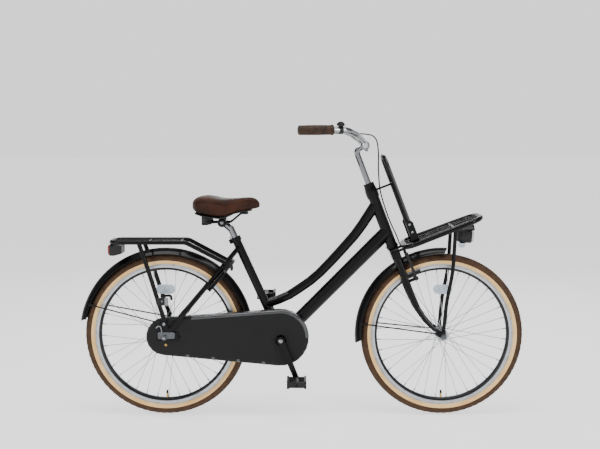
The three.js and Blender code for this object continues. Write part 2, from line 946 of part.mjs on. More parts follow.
// Cutters that stand for a tube with its clearance
const seatTubeTool = () => hole(bracket, seatPoint(seatTube.length + overrun), seatTube.radius, 16);
const shellTool = () => {
  const reach = bracketShell.half + 3 * overrun;
  return hole(bracket.clone().setY(-reach), bracket.clone().setY(reach), bracketShell.radius, 20);
};
const headTubeTool = () => {
  const { bottom, length, cupHeight, radius, cupRadius } = headTube;
  const at = (z) => fromSteering(0, 0, z);
  return join(
    hole(at(bottom - overrun), at(bottom + length + overrun), radius, 16),
    hole(at(bottom - overrun), at(bottom + cupHeight + gap), cupRadius, 16),
    hole(at(bottom + length - cupHeight - gap), at(bottom + length + overrun), cupRadius, 16),
  );
};

// Head tube with its two bearing cups, along the steering axis
function headTubeSolid() {
  const { radius, bottom, length, bore, cupRadius, cupHeight } = headTube;
  const top = bottom + length;
  const seat = clear(steerer.radius, 16);
  return turnedUp(
    [
      [seat, bottom],
      [cupRadius, bottom],
      [cupRadius, bottom + cupHeight],
      [radius, bottom + cupHeight],
      [radius, top - cupHeight],
      [cupRadius, top - cupHeight],
      [cupRadius, top],
      [seat, top],
      [seat, top - cupHeight],
      [bore, top - cupHeight],
      [bore, bottom + cupHeight],
      [seat, bottom + cupHeight],
    ],
    16,
  );
}

// Down tube: straight, from the head tube to the bracket shell
function downTubeSolid() {
  const head = fromSteering(0, 0, headTube.bottom + downTube.headJoin);
  const tube = rod(bracket, head, downTube.radius, 16, downTube.flare);
  return cut(tube, headTubeTool(), shellTool(), seatTubeTool());
}

// Top tube: leaves the head tube steeply and sweeps back low for the step-through
function topTubeSolid() {
  const head = fromSteering(0, 0, headTube.bottom + topTube.headJoin);
  const seat = seatPoint(topTube.seatJoin);
  const sweepShares = [
    [0, 0],
    [0.175, 0.067],
    [0.31, 0.158],
    [0.448, 0.268],
    [0.586, 0.418],
    [0.72, 0.579],
    [0.829, 0.718],
    [1, 1],
  ];
  const place = ([x, z]) => v3(seat.x + x * (head.x - seat.x), 0, seat.z + z * (head.z - seat.z));
  const curve = new THREE.CatmullRomCurve3(sweepShares.map(place));
  const steps = 12;
  const rings = Array.from({ length: steps + 1 }, (_, i) => {
    const t = i / steps;
    const width = 2 * THREE.MathUtils.lerp(topTube.radius, topTube.headRadius, t ** 2);
    return ovalRing(curve.getPointAt(t), curve.getTangentAt(t), width, width, 12);
  });
  return cut(loft(rings), headTubeTool(), seatTubeTool());
}

// Places on the line of the seat stays, from the rear axle up to the seat tube
const stayTop = seatPoint(seatStay.join);
const stayLength = rearAxle.distanceTo(stayTop);
const stayUp = stayTop.clone().sub(rearAxle).normalize();
const stayAngle = Math.atan2(stayUp.z, stayUp.x);
const stayOutY = dropoutOuter + gap + seatStay.flatWidth / 2;
const stayPlace = (reach, y = 0) => rearAxle.clone().addScaledVector(stayUp, reach).setY(y);

// How far out each seat stay lies, as shares of its length and of its distance at the dropout
const stayShares = [
  [0.099, 1],
  [0.207, 1],
  [0.264, 0.99],
  [0.353, 0.918],
  [0.5, 0.755],
  [0.68, 0.612],
  [0.79, 0.555],
  [0.9, 0.39],
  [1, 0.203],
];
const stayY = (reach) => {
  const share = reach / stayLength;
  const i = Math.max(1, stayShares.findIndex(([along]) => along >= share));
  const [a, ya] = stayShares[i - 1];
  const [b, yb] = stayShares[i];
  return stayOutY * THREE.MathUtils.mapLinear(share, a, b, ya, yb);
};

// One seat stay: flat beside the dropout, round from there up
function seatStaySolid(side, extra = 0) {
  const flatEnds = 2;
  const rings = stayShares.map(([along, y], i) => {
    const flat = i < flatEnds;
    const depth = (flat ? seatStay.flatDepth : 2 * seatStay.radius) + 2 * extra;
    const width = (flat ? seatStay.flatWidth : 2 * seatStay.radius) + 2 * extra;
    return ovalRing(stayPlace(along * stayLength, side * y * stayOutY), stayUp, depth, width, 10);
  });
  return loft(rings);
}

// Both seat stays, with their bridge and the mudguard's bolt
function seatStaysSolid() {
  const bridgeReach = guard.radius + seatStay.bridgeClearance + seatStay.bridgeRadius;
  const y = stayY(bridgeReach);
  const bridge = rod(stayPlace(bridgeReach, -y), stayPlace(bridgeReach, y), seatStay.bridgeRadius, 8);
  const bolt = rod(stayPlace(bridgeReach), stayPlace(guard.radius + gap), rackBolt.radius, 8);
  return cut(join(seatStaySolid(-1), seatStaySolid(1), bridge, bolt), seatTubeTool());
}

// Dropout plate: a slot round the axle, a tongue under the seat stay, and an eye above
function dropoutShape() {
  const { back, ahead, below, above, eyeRise, eyeRadius, tongue, tongueHalf } = dropout;
  const up = v2(stayUp.x, stayUp.z);
  const side = v2(-up.y, up.x);
  const edge = (reach, half) => up.clone().multiplyScalar(reach).addScaledVector(side, half);
  const shape = new THREE.Shape();
  const line = (p) => shape.lineTo(p.x, p.y);
  shape.moveTo(-back, -below);
  shape.lineTo(ahead, -below);
  shape.lineTo(ahead, above);
  line(edge((above + tongueHalf) / up.y, -tongueHalf));
  line(edge(tongue, -tongueHalf));
  line(edge(tongue, tongueHalf));
  line(edge((above + eyeRadius) / up.y, tongueHalf));
  shape.absarc(0, eyeRise, eyeRadius, 0, 180 * DEG);
  shape.lineTo(-eyeRadius, above + eyeRadius);
  shape.lineTo(-back, above);
  const r = rearHub.axleRadius + gap;
  const slot = new THREE.Path();
  slot.absarc(r, 0, r, -90 * DEG, 90 * DEG);
  slot.absarc(-r - axleNut.radius / 2, 0, r, 90 * DEG, 270 * DEG);
  const eye = new THREE.Path().absarc(0, eyeRise, clear(rackBolt.radius, 10), 0, TURN);
  shape.holes.push(slot, eye);
  return shape;
}

// The line of one chain stay, from the dropout to the bracket shell
const chainStayEndX = rearAxleX + dropout.ahead - chainStay.radius;
const chainStayPoints = (side) => {
  const outY = dropoutInner + chainStay.tuck;
  const inwardShares = [
    [0, 1],
    [0.06, 0.87],
    [0.14, 0.8],
    [0.42, 0.64],
    [0.72, 0.54],
    [0.93, 0.48],
    [1, 0.45],
  ];
  return inwardShares.map(([x, y]) =>
    v3(
      THREE.MathUtils.lerp(chainStayEndX, bracketX, x),
      side * outY * y,
      THREE.MathUtils.lerp(axleZ, bracketZ, x),
    ),
  );
};
const chainStaySolid = (side, radius = chainStay.radius) =>
  pipe(chainStayPoints(side), radius, { bend: chainStay.bend, sides: 8, arcSteps: 1 });

// The stand's pivot and the axis that it swings about
const standPivot = v3(bracketX - stand.pivotBack, stand.legY, bracketZ - stand.pivotDrop);
const standAxis = v3(0, Math.cos(stand.lean), Math.sin(stand.lean));

// Chain stays with their dropouts, a bridge behind the bracket shell, and the stand's lug and pin
function chainStaysSolid() {
  const drop = (side) => {
    const from = side < 0 ? -dropoutInner : dropoutOuter;
    const shape = plate(dropoutShape(), from, from - dropout.thickness, 5);
    return moved(shape, new THREE.Matrix4().makeTranslation(rearAxleX, 0, axleZ));
  };
  const bridgeY = (dropoutInner * chainStay.bridgeShare) / 2;
  const bridgeAt = (y) => v3(standPivot.x, y, bracketZ);
  const bridge = rod(bridgeAt(-bridgeY), bridgeAt(bridgeY), chainStay.bridgeRadius, 8);
  const bossReach = stand.bossHalf * Math.cos(stand.lean) + stand.bossRadius * Math.sin(stand.lean);
  const lugOuter = standPivot.y - bossReach - gap;
  const lug = block(
    v3(standPivot.x, lugOuter - stand.lugThickness / 2, bracketZ - stand.pivotDrop / 2),
    v3(stand.lugWidth, stand.lugThickness, stand.pivotDrop + stand.lugWidth),
  );
  const along = (reach) => standPivot.clone().addScaledVector(standAxis, reach);
  const pin = rod(along(-bossReach - stand.lugThickness), along(stand.bossHalf + overrun), stand.pinRadius, 8);
  const made = join(chainStaySolid(-1), chainStaySolid(1), drop(-1), drop(1), bridge, lug, pin);
  return cut(made, shellTool(), seatTubeTool());
}

// Stand: a leg with a rubber-tipped foot, folded back along the chain stay
function standSolid() {
  const along = (reach) => standPivot.clone().addScaledVector(standAxis, reach);
  const boss = rod(along(-stand.bossHalf), along(stand.bossHalf), stand.bossRadius, 12);
  const back = (reach) => standPivot.clone().add(v3(-reach, 0, 0));
  const leg = rod(back(0), back(stand.length), stand.legRadius, 10);
  const foot = rod(back(stand.length - stand.footLength), back(stand.length), stand.footRadius, 8);
  const bore = hole(along(-stand.length), along(stand.length), stand.pinRadius, 10);
  return cut(join(boss, leg, foot), bore);
}

// Arm that takes the back-pedal brake's load from the hub to the chain stay
function brakeArmSolid() {
  const { inner, thickness, plateRadius, width, clipX, clipDrop, clipHalf, clipLength } = coasterArm;
  const reach = clipX - rearAxleX;
  const shape = new THREE.Shape();
  shape.absarc(0, 0, plateRadius, 60 * DEG, 300 * DEG);
  shape.lineTo(reach, -clipDrop - width / 2);
  shape.lineTo(reach, -clipDrop + width / 2);
  const outer = inner + thickness;
  const arm = moved(plate(shape, outer, inner, 6), new THREE.Matrix4().makeTranslation(rearAxleX, 0, axleZ));
  const clipMiddle = v3(clipX, coasterArm.clipY, axleZ - clipHalf / 4);
  const clip = block(clipMiddle, v3(clipLength, 2 * clipHalf, 2.5 * clipHalf));
  const axleEnds = [inner - overrun, outer + overrun].map((y) => rearAxle.clone().setY(y));
  const axle = hole(...axleEnds, rearHub.axleRadius);
  return cut(join(arm, clip), axle, chainStaySolid(1, clear(chainStay.radius, 8)));
}

// Seat clamp: a collar round the top of the seat tube, closed by a bolt behind
function seatClampSolid() {
  const { radius, height, ear, earGap, earThickness, boltRadius } = seatClamp;
  const inner = clear(seatTube.radius, 16);
  const collar = turnedUp(
    [
      [inner, 0],
      [radius, 0],
      [radius, height],
      [inner, height],
    ],
    16,
  );
  const earWidth = earGap + 2 * earThickness;
  const ears = block(v3(-inner - ear / 2, 0, height / 2), v3(ear, earWidth, height));
  const slit = block(v3(-inner - ear / 2, 0, height / 2), v3(ear + 2 * overrun, earGap, height + 2 * overrun));
  const boltAt = (y) => v3(-inner - ear / 2 - boltRadius, y, height / 2);
  const bolt = rod(boltAt(-earWidth / 2 - boltRadius), boltAt(earWidth / 2 + boltRadius), boltRadius, 8);
  const room = turnedUp(
    [
      [0, -overrun],
      [inner, -overrun],
      [inner, height + overrun],
      [0, height + overrun],
    ],
    16,
  );
  const lean = new THREE.Matrix4()
    .makeRotationY(seatAngle - 90 * DEG)
    .setPosition(seatPoint(seatTube.length - height));
  return moved(cut(join(cut(join(collar, ears), slit), bolt), room), lean);
}

// Outline of the chain case: two rounds and the straight runs between them, drawn in by an inset
function caseOutline(inset) {
  const rear = v2(rearAxleX, axleZ);
  const front = v2(bracketX - chainCase.frontBack, bracketZ + chainCase.frontRise);
  const line = rear.clone().sub(front);
  const spread = Math.asin((chainCase.frontRadius - chainCase.rearRadius) / line.length());
  const top = line.angle() - 90 * DEG + spread;
  const arc = (centre, radius, from, turn, steps) =>
    Array.from({ length: steps + 1 }, (_, i) => {
      const a = from + (turn * i) / steps;
      return centre.clone().add(v2(Math.cos(a), Math.sin(a)).multiplyScalar(radius - inset));
    });
  return [
    ...arc(rear, chainCase.rearRadius, top, 180 * DEG - 2 * spread, 9),
    ...arc(front, chainCase.frontRadius, top - 180 * DEG - 2 * spread, 180 * DEG + 2 * spread, 13),
  ];
}

// Outer half of the chain case: a shallow moulded pan, open to the wheel
function caseOuterSolid() {
  const { outer, fillet, wall } = chainCase;
  const inner = chainCase.inner + gap;
  const cornerShare = 0.29;
  const sections = [
    [fillet, outer - wall],
    [wall + fillet * cornerShare, outer - wall - (fillet - wall) * cornerShare],
    [wall, outer - fillet],
    [wall, inner],
    [0, inner],
    [0, outer - fillet],
    [fillet * cornerShare, outer - fillet * cornerShare],
    [fillet, outer],
  ];
  const shell = loft(sections.map(([inset, y]) => caseOutline(inset).map((p) => v3(p.x, -y, p.y))));
  const crankHole = rod(
    bracket.clone().setY(wall + overrun - outer),
    bracket.clone().setY(-outer - overrun),
    chainCase.crankHole,
    16,
  );
  const { back, ahead, height, rise } = chainCase.window;
  const window = block(
    v3(rearAxleX + (ahead - back) / 2, -outer, axleZ + rise),
    v3(back + ahead, 2 * (fillet - wall), height),
  );
  return cut(shell, crankHole, window);
}

// Inner half of the chain case: a plate clamped between the bracket shell and the pan
function caseInnerSolid() {
  const outside = -bracketShell.half - gap;
  const inside = -chainCase.inner;
  const sheet = plate(new THREE.Shape(caseOutline(0)), outside, inside, 4);
  const at = (x, z, y) => v3(x, y, z);
  const through = (x, z, radius) =>
    rod(at(x, z, outside + overrun), at(x, z, inside - overrun), radius, 16);
  const slot = block(
    v3((rearAxleX + bracketX) / 2, outside, (axleZ + bracketZ) / 2),
    v3(bracketAhead, chainCase.inner, 2 * chainCase.slotHalf),
    Math.atan2(bracketDrop, bracketAhead),
  );
  return cut(
    sheet,
    through(rearAxleX, axleZ, chainCase.hubHole),
    through(bracketX, bracketZ, chainCase.spindleHole),
    slot,
  );
}

// Where the rack bolt sits above the rear dropouts, and what is stacked on it
const rackEye = rearAxle.clone().add(v3(0, 0, dropout.eyeRise));
const tabInner = dropoutOuter + gap;
const tabOuter = tabInner + rackBolt.tab;
const wireInner = tabOuter + gap;
const wireOuter = wireInner + rackBolt.wireEye;

// Section of a mudguard at an angle: a shallow arch with its lips
function guardRing(angle) {
  const across = [-1, -0.6, 0, 0.6, 1];
  const at = (share, radius) => {
    const r = radius - guard.depth * share ** 2;
    return v3(r * Math.cos(angle), share * guard.halfWidth, r * Math.sin(angle));
  };
  return [
    ...across.map((share) => at(share, guard.radius)),
    ...across.toReversed().map((share) => at(share, guard.radius - guard.thickness)),
  ];
}

// Mudguard about the axle, with the wires that hold it to the eyes beside the wheel
function guardSolid({ from, to, wireAngle }, eye, eyeInner, eyeOuter, steps) {
  const rings = Array.from({ length: steps + 1 }, (_, i) => guardRing(from + ((to - from) * i) / steps));
  const lipShare = 1 - guard.wire / guard.halfWidth;
  const lip = guard.radius - guard.depth * lipShare ** 2 - guard.thickness / 2;
  const lipY = lipShare * guard.halfWidth;
  const wires = [-1, 1].map((side) => {
    const end = v3(lip * Math.cos(wireAngle), side * lipY, lip * Math.sin(wireAngle));
    const middle = (side * (eyeInner + eyeOuter)) / 2;
    const start = eye.clone().setY(middle);
    const wire = rod(start, end, guard.wire, 6);
    const at = (y) => eye.clone().setY(side * y);
    const bore = hole(at(eyeInner - overrun), at(eyeOuter + overrun), rackBolt.radius, 8);
    const flat = rod(at(eyeInner), at(eyeOuter), rackBolt.eyeRadius, 10);
    const faces = [eyeInner - guard.wire, eyeOuter + guard.wire].map((y) =>
      block(at(y), v3(4 * rackBolt.eyeRadius, 2 * guard.wire, 4 * rackBolt.eyeRadius)),
    );
    return cut(join(flat, cut(wire, faces)), bore);
  });
  return join(loft(rings), wires);
}

// Rear carrier: a looped tube with cross bars and two long rods, its front ends on the seat stays
function rearCarrierSolid() {
  const { deckZ, back, bendX, halfWidth, tube, rodRadius, rodY, frontJoin } = rearCarrier;
  const foot = (side) => stayPlace(frontJoin, side * (stayY(frontJoin) + seatStay.radius + tube / 2));
  const loop = pipe(
    [
      foot(-1),
      v3(bendX, -halfWidth, deckZ),
      v3(back, -halfWidth, deckZ),
      v3(back, halfWidth, deckZ),
      v3(bendX, halfWidth, deckZ),
      foot(1),
    ],
    tube,
    { bend: rearCarrier.corner, sides: 8, arcSteps: 3 },
  );
  const crossX = [bendX - rearCarrier.corner / 2, (bendX + back) / 2];
  const cross = crossX.map((x) => rod(v3(x, -halfWidth, deckZ), v3(x, halfWidth, deckZ), rodRadius, 6));
  const rods = [-1, 1].map((side) =>
    rod(v3(crossX[0], side * rodY, deckZ), v3(back, side * rodY, deckZ), rodRadius, 6),
  );
  const stays = [-1, 1].map((side) => seatStaySolid(side, gap));
  return cut(join(loop, cross, rods), stays);
}

// Carrier leg: round under the deck, flat round the bolt in the dropout's eye
function carrierLegSolid(side) {
  const { deckZ, legTopX, halfWidth, legTube, tube } = rearCarrier;
  const flatTop = rackEye.clone().add(v3(0, 0, rackBolt.tabRise));
  const top = v3(legTopX, halfWidth, deckZ);
  const middleY = (tabInner + tabOuter) / 2;
  const up = top.clone().sub(rackEye).setY(0).normalize();
  const place = (from, rise, y) => from.clone().addScaledVector(up, rise).setY(side * y);
  const rings = [
    ovalRing(place(rackEye, 0, middleY), up, rackBolt.tabWidth, rackBolt.tab, 10),
    ovalRing(place(flatTop, 0, middleY), up, rackBolt.tabWidth, rackBolt.tab, 10),
    ovalRing(place(flatTop, rackBolt.tabRise, middleY), up, 2 * legTube, 2 * legTube, 10),
    ovalRing(top.clone().setY(side * halfWidth), up, 2 * legTube, 2 * legTube, 10),
  ];
  const at = (y) => rackEye.clone().setY(side * y);
  const tab = rod(at(tabInner), at(tabOuter), rackBolt.tabWidth / 2, 12);
  const bolt = rod(at(dropoutInner), at(wireOuter + gap), rackBolt.radius, 8);
  const head = rod(at(wireOuter + gap), at(wireOuter + gap + rackBolt.headHeight), rackBolt.head, 6);
  const deck = hole(
    v3(rearCarrier.back, side * halfWidth, deckZ),
    v3(rearCarrier.bendX, side * halfWidth, deckZ),
    tube,
    8,
  );
  const above = block(
    v3(legTopX, side * halfWidth, deckZ + tube),
    v3(8 * legTube, 4 * legTube, 2 * tube),
  );
  return join(cut(loft(rings), deck, above), tab, bolt, head);
}

// Tail lamp under the rear of the deck: a closed housing, with its red lens behind
const tailTop = rearCarrier.deckZ - rearCarrier.tube - gap;
const tailSeam = rearCarrier.back + tailLight.bracket / 2;
function tailBodySolid() {
  const { width, height, bodyDepth, drop, bracket: lug, taper } = tailLight;
  const middleZ = tailTop - drop - height / 2;
  const shape = new THREE.Shape([
    v2(tailSeam, middleZ - height / 2),
    v2(tailSeam + bodyDepth, middleZ - height / 2 + taper),
    v2(tailSeam + bodyDepth, middleZ + height / 2 - taper / 2),
    v2(tailSeam, middleZ + height / 2),
  ]);
  const sheet = drop - gap;
  const hanger = block(v3(tailSeam - lug / 4, 0, tailTop - sheet / 2), v3(1.5 * lug, width / 3, sheet));
  const web = block(v3(tailSeam + lug / 4, 0, tailTop - drop), v3(lug / 2, width / 3, 2 * drop));
  return join(plate(shape, width / 2, -width / 2), hanger, web);
}
function tailLensSolid() {
  const { width, height, lensDepth, drop, corner } = tailLight;
  const middleZ = tailTop - drop - height / 2;
  const seam = tailSeam - gap;
  const ring = (x, inset) =>
    roundedRing(width / 2 - inset, height / 2 - inset, corner, 3).map((p) => v3(x, p.x, middleZ + p.y));
  return loft([
    ring(seam, 0),
    ring(seam - lensDepth * 0.6, 0),
    ring(seam - lensDepth, corner / 2),
  ]);
}

// A rounded rectangle of points
function roundedRing(halfX, halfY, corner, steps) {
  const r = Math.min(corner, halfX * 0.99, halfY * 0.99);
  return [0, 1, 2, 3].flatMap((quarter) =>
    Array.from({ length: steps + 1 }, (_, i) => {
      const a = (quarter + i / steps) * 90 * DEG;
      const sx = quarter === 0 || quarter === 3 ? 1 : -1;
      const sy = quarter < 2 ? 1 : -1;
      return v2(sx * (halfX - r) + r * Math.cos(a), sy * (halfY - r) + r * Math.sin(a));
    }),
  );
}

// Seat post in the seat tube, with the head that clamps the saddle's rails
const railZ = seatPoint(seatTube.length + post.rise).z + post.headRise;
const railClampX = seatPoint(seatTube.length + post.rise).x - post.setBack;
function seatPostSolid() {
  const { radius, insert, rise, headLength, headHalf, headHeight, barrelRadius } = post;
  const top = seatPoint(seatTube.length + rise);
  const tube = rod(seatPoint(seatTube.length - insert), top, radius, 14);
  const head = block(v3(railClampX, 0, railZ), v3(headLength, 2 * headHalf, headHeight));
  const barrel = rod(v3(railClampX, -headHalf, railZ), v3(railClampX, headHalf, railZ), barrelRadius, 10);
  const neck = rod(top.clone().addScaledVector(seatDirection, -rise / 4), v3(railClampX, 0, railZ), radius, 10);
  const { railY, railRadius } = saddle;
  const grooves = [-1, 1].map((side) =>
    hole(
      v3(railClampX - headLength, side * railY, railZ),
      v3(railClampX + headLength, side * railY, railZ),
      railRadius,
      8,
    ),
  );
  return cut(join(tube, head, barrel, neck), grooves);
}

// Saddle rails: one bent wire under the nose and back to the two rubber springs
const springAt = (side) => v3(saddle.back + saddle.springAhead, side * saddle.springY, railZ - saddle.springDrop);
function railPoints() {
  const { railY, noseJoin, noseRailZ } = saddle;
  const noseX = saddle.back + saddle.length - noseJoin;
  const half = (side) => [
    springAt(side),
    v3(railClampX - post.headLength, side * railY, railZ),
    v3(railClampX + post.headLength, side * railY, railZ),
    v3(noseX - railY, side * railY * 0.8, noseRailZ),
    v3(noseX, side * saddle.railRadius, noseRailZ),
  ];
  return [...half(-1), ...half(1).toReversed()];
}
const saddleRailWire = (radius) =>
  pipe(railPoints(), radius, { bend: saddle.railBend, sides: 6, arcSteps: 1 });
function saddleRailsSolid() {
  const discs = [-1, 1].map((side) => {
    const centre = springAt(side);
    const up = (z) => centre.clone().add(v3(0, 0, z));
    return rod(up(-saddle.railRadius), up(saddle.railRadius), saddle.springRadius, 12);
  });
  return join(saddleRailWire(saddle.railRadius), discs);
}

// The saddle's stations from back to nose, as shares: along, half width, top and bottom
const saddleShares = [
  [0, 0.4, 0.7, 0.42],
  [0.05, 0.74, 0.88, 0.22],
  [0.15, 0.95, 0.975, 0.13],
  [0.27, 1, 1, 0.06],
  [0.4, 0.9, 0.905, 0.01],
  [0.5, 0.68, 0.85, 0.035],
  [0.62, 0.43, 0.845, 0.2],
  [0.75, 0.29, 0.88, 0.285],
  [0.88, 0.235, 0.905, 0.335],
  [0.96, 0.2, 0.81, 0.39],
  [1, 0.1, 0.61, 0.44],
];
const saddleStation = ([along, half, top, bottom]) => ({
  x: saddle.back + along * saddle.length,
  half: (half * saddle.width) / 2,
  top: saddle.skirtZ + top * saddle.height,
  bottom: saddle.skirtZ + bottom * saddle.height,
});

// Saddle cover: a crowned form whose sides draw in to the skirt
function saddleCoverSolid() {
  const sectionShares = [
    [0.84, 0],
    [0.97, 0.22],
    [1, 0.48],
    [0.92, 0.74],
    [0.7, 0.91],
    [0.38, 0.985],
    [0, 1],
  ];
  const rings = saddleShares.map(saddleStation).map(({ x, half, top, bottom }) => {
    const place = ([y, z], side) => v3(x, side * y * half, bottom + z * (top - bottom));
    const right = sectionShares.map((share) => place(share, -1));
    const left = sectionShares.slice(0, -1).map((share) => place(share, 1));
    return [...right, ...left.toReversed()];
  });
  return loft(rings);
}

// Saddle base: a moulded plate under the cover, on two rubber springs and a nose lug
function saddleBaseSolid() {
  const first = 1;
  const last = saddleShares.length - 2;
  const stations = saddleShares.slice(first, last).map(saddleStation);
  const rings = stations.map(({ x, half, bottom }) => {
    const y = half * saddle.baseShare;
    const z = bottom - gap;
    const low = z - saddle.baseThickness;
    return [v3(x, -y, z), v3(x, y, z), v3(x, y, low), v3(x, -y, low)];
  });
  const sheet = loft(rings);
  const springTop = (at) => THREE.MathUtils.lerp(at.z, saddle.skirtZ + saddle.height, saddle.springShare);
  const springs = [-1, 1].map((side) => {
    const at = springAt(side);
    return rod(at.clone().add(v3(0, 0, saddle.railRadius + gap)), at.clone().setZ(springTop(at)), saddle.springRadius, 12);
  });
  const noseX = saddle.back + saddle.length - saddle.noseJoin - saddle.railY / 2;
  const lug = block(
    v3(noseX, 0, saddle.noseRailZ + saddle.lugRise / 2),
    v3(saddle.railY, 1.2 * saddle.railY, saddle.lugRise + 3 * saddle.railRadius),
  );
  const cover = loft(
    saddleShares.map(saddleStation).map(({ x, bottom }) => {
      const y = saddle.width;
      const z = bottom - gap;
      return [v3(x, -y, z), v3(x, y, z), v3(x, y, z + saddle.height), v3(x, -y, z + saddle.height)];
    }),
  );
  return cut(join(sheet, springs, lug), cover, saddleRailWire(clear(saddle.railRadius, 6)));
}

// Fork in the steering frame: steerer, crown, two blades that sweep forwards, and the brake's studs
const forkTipInner = frontHub.overLocknuts / 2;
const forkTipOuter = forkTipInner + fork.tipPlate;
const frontEye = v3(forkRake - fork.eyeBack, 0, fork.eyeRise);
function forkSolid() {
  const { crownTop, crownBottom, crownDepth, crownHalf, bladeY, bladeDepth, bladeWidth } = fork;
  const tipY = (forkTipInner + forkTipOuter) / 2;
  const bladeShares = [
    [0, 0, 1, 0],
    [0, 0.43, 0.95, 0],
    [0.07, 0.61, 0.83, 0.25],
    [0.28, 0.76, 0.7, 0.6],
    [0.62, 0.9, 0.5, 1],
  ];
  const blade = (side) => {
    const places = bladeShares.map(([x, z, , y]) =>
      v3(x * forkRake, side * THREE.MathUtils.lerp(bladeY, tipY, y), (1 - z) * (crownBottom + fork.bladeSink)),
    );
    const rings = places.map((p, i) => {
      const before = places[Math.max(i - 1, 0)];
      const after = places[Math.min(i + 1, places.length - 1)];
      const size = bladeShares[i][2];
      return ovalRing(p, after.clone().sub(before).setY(0).normalize(), bladeDepth * size, bladeWidth * size, 10);
    });
    return loft(rings);
  };
  const crownShape = new THREE.Shape();
  const shoulder = fork.shoulder;
  crownShape.moveTo(-crownHalf, crownBottom);
  crownShape.lineTo(crownHalf, crownBottom);
  crownShape.absarc(crownHalf - shoulder, crownTop - shoulder, shoulder, 0, 90 * DEG);
  crownShape.absarc(shoulder - crownHalf, crownTop - shoulder, shoulder, 90 * DEG, 180 * DEG);
  const options = { depth: crownDepth, bevelEnabled: false, curveSegments: 4 };
  const crownForm = new THREE.ExtrudeGeometry(crownShape, options).rotateX(90 * DEG).rotateZ(90 * DEG);
  const crown = solid(crownForm.translate(-crownDepth / 2, 0, 0));
  const tip = (side) => {
    const from = side < 0 ? -forkTipInner : forkTipOuter;
    const shape = new THREE.Shape();
    const blendX = 0.62 * forkRake;
    const blendZ = 0.12 * crownBottom;
    shape.absarc(forkRake, 0, fork.tipRadius, -120 * DEG, 60 * DEG);
    shape.lineTo(blendX + fork.tipRadius / 2, blendZ);
    shape.lineTo(blendX - fork.tipRadius / 2, blendZ);
    shape.lineTo(frontEye.x, frontEye.z + fork.eyeRadius);
    shape.absarc(frontEye.x, frontEye.z, fork.eyeRadius, 90 * DEG, 220 * DEG);
    return plate(shape, from, from - fork.tipPlate, 5);
  };
  const axleBore = hole(
    v3(forkRake, -forkTipOuter - overrun, 0),
    v3(forkRake, forkTipOuter + overrun, 0),
    frontHub.axleRadius,
  );
  const slot = block(
    v3(forkRake, 0, -fork.tipRadius / 2),
    v3(2 * (frontHub.axleRadius + gap), 2 * (forkTipOuter + overrun), fork.tipRadius + overrun),
  );
  const stud = (side) => {
    const at = (x) => v3(x, side * brake.pivotY, brake.pivotZ);
    const back = brake.armX - brake.armThickness / 2 - gap;
    const front = brake.armX + brake.armThickness / 2 + gap;
    return [
      rod(at(0), at(back), fork.bossRadius, 8),
      rod(at(back), at(front), brake.studRadius, 8),
      rod(at(front), at(front + brake.cap), fork.bossRadius, 6),
    ];
  };
  const eyeBolt = (side) => {
    const at = (y) => frontEye.clone().setY(side * y);
    const head = forkTipOuter + 2 * gap + rackBolt.wireEye;
    return [
      rod(at(forkTipInner), at(head), rackBolt.radius, 6),
      rod(at(head), at(head + rackBolt.headHeight), rackBolt.head, 6),
    ];
  };
  const up = (z) => v3(0, 0, z);
  const race = rod(up(crownTop - overrun), up(headTube.bottom - gap), headTube.radius, 12);
  const tube = rod(up(crownTop - overrun), up(steerer.top), steerer.radius, 12);
  const boreTool = rod(up(steerer.boreBottom), up(steerer.top + overrun), clear(stem.radius, 12), 12);
  const guardTop = Math.sqrt((guard.radius + gap) ** 2 - (forkRake - rackBolt.radius) ** 2);
  const guardBolt = rod(up(crownBottom + overrun), up(guardTop), rackBolt.radius, 6);
  const frame = cut(join(crown, blade(-1), blade(1), tip(-1), tip(1)), axleBore, slot);
  const fittings = [...stud(-1), ...stud(1), ...eyeBolt(-1), ...eyeBolt(1), race, tube, guardBolt];
  return cut(join(frame, fittings), boreTool);
}

// Tall cover over the upper bearing
function headsetCoverSolid() {
  const foot = headTube.bottom + headTube.length + gap;
  const top = foot + headsetCover.height;
  const inside = steerer.top + gap;
  return turnedUp(
    [
      [clear(steerer.radius, 16), foot],
      [headsetCover.radius, foot],
      [headsetCover.radius, foot + headsetCover.height / 3],
      [headsetCover.waist, top - headsetCover.height / 4],
      [headsetCover.waist, top],
      [clear(stem.radius, 16), top],
      [clear(stem.radius, 16), inside],
      [clear(steerer.radius, 16), inside],
    ],
    16,
  );
}

// Stem: a quill that bends forwards to the handlebar's clamp
const barCentre = v3(stem.clampX, 0, stem.clampZ);
function stemSolid() {
  const { radius, bottom, bend, clampRadius, clampHalf, lug } = stem;
  const quill = pipe([v3(0, 0, bottom), v3(0, 0, bend), barCentre], radius, { bend: 2 * radius, sides: 12 });
  const across = (y) => barCentre.clone().setY(y);
  const clamp = rod(across(-clampHalf), across(clampHalf), clampRadius, 16);
  const lugs = block(
    barCentre.clone().add(v3(0, 0, -clampRadius)),
    v3(lug, 1.6 * lug, lug),
    -steeringLean,
  );
  const bore = hole(across(-clampHalf - overrun), across(clampHalf + overrun), bar.radius, 12);
  return cut(join(quill, clamp, lugs), bore);
}

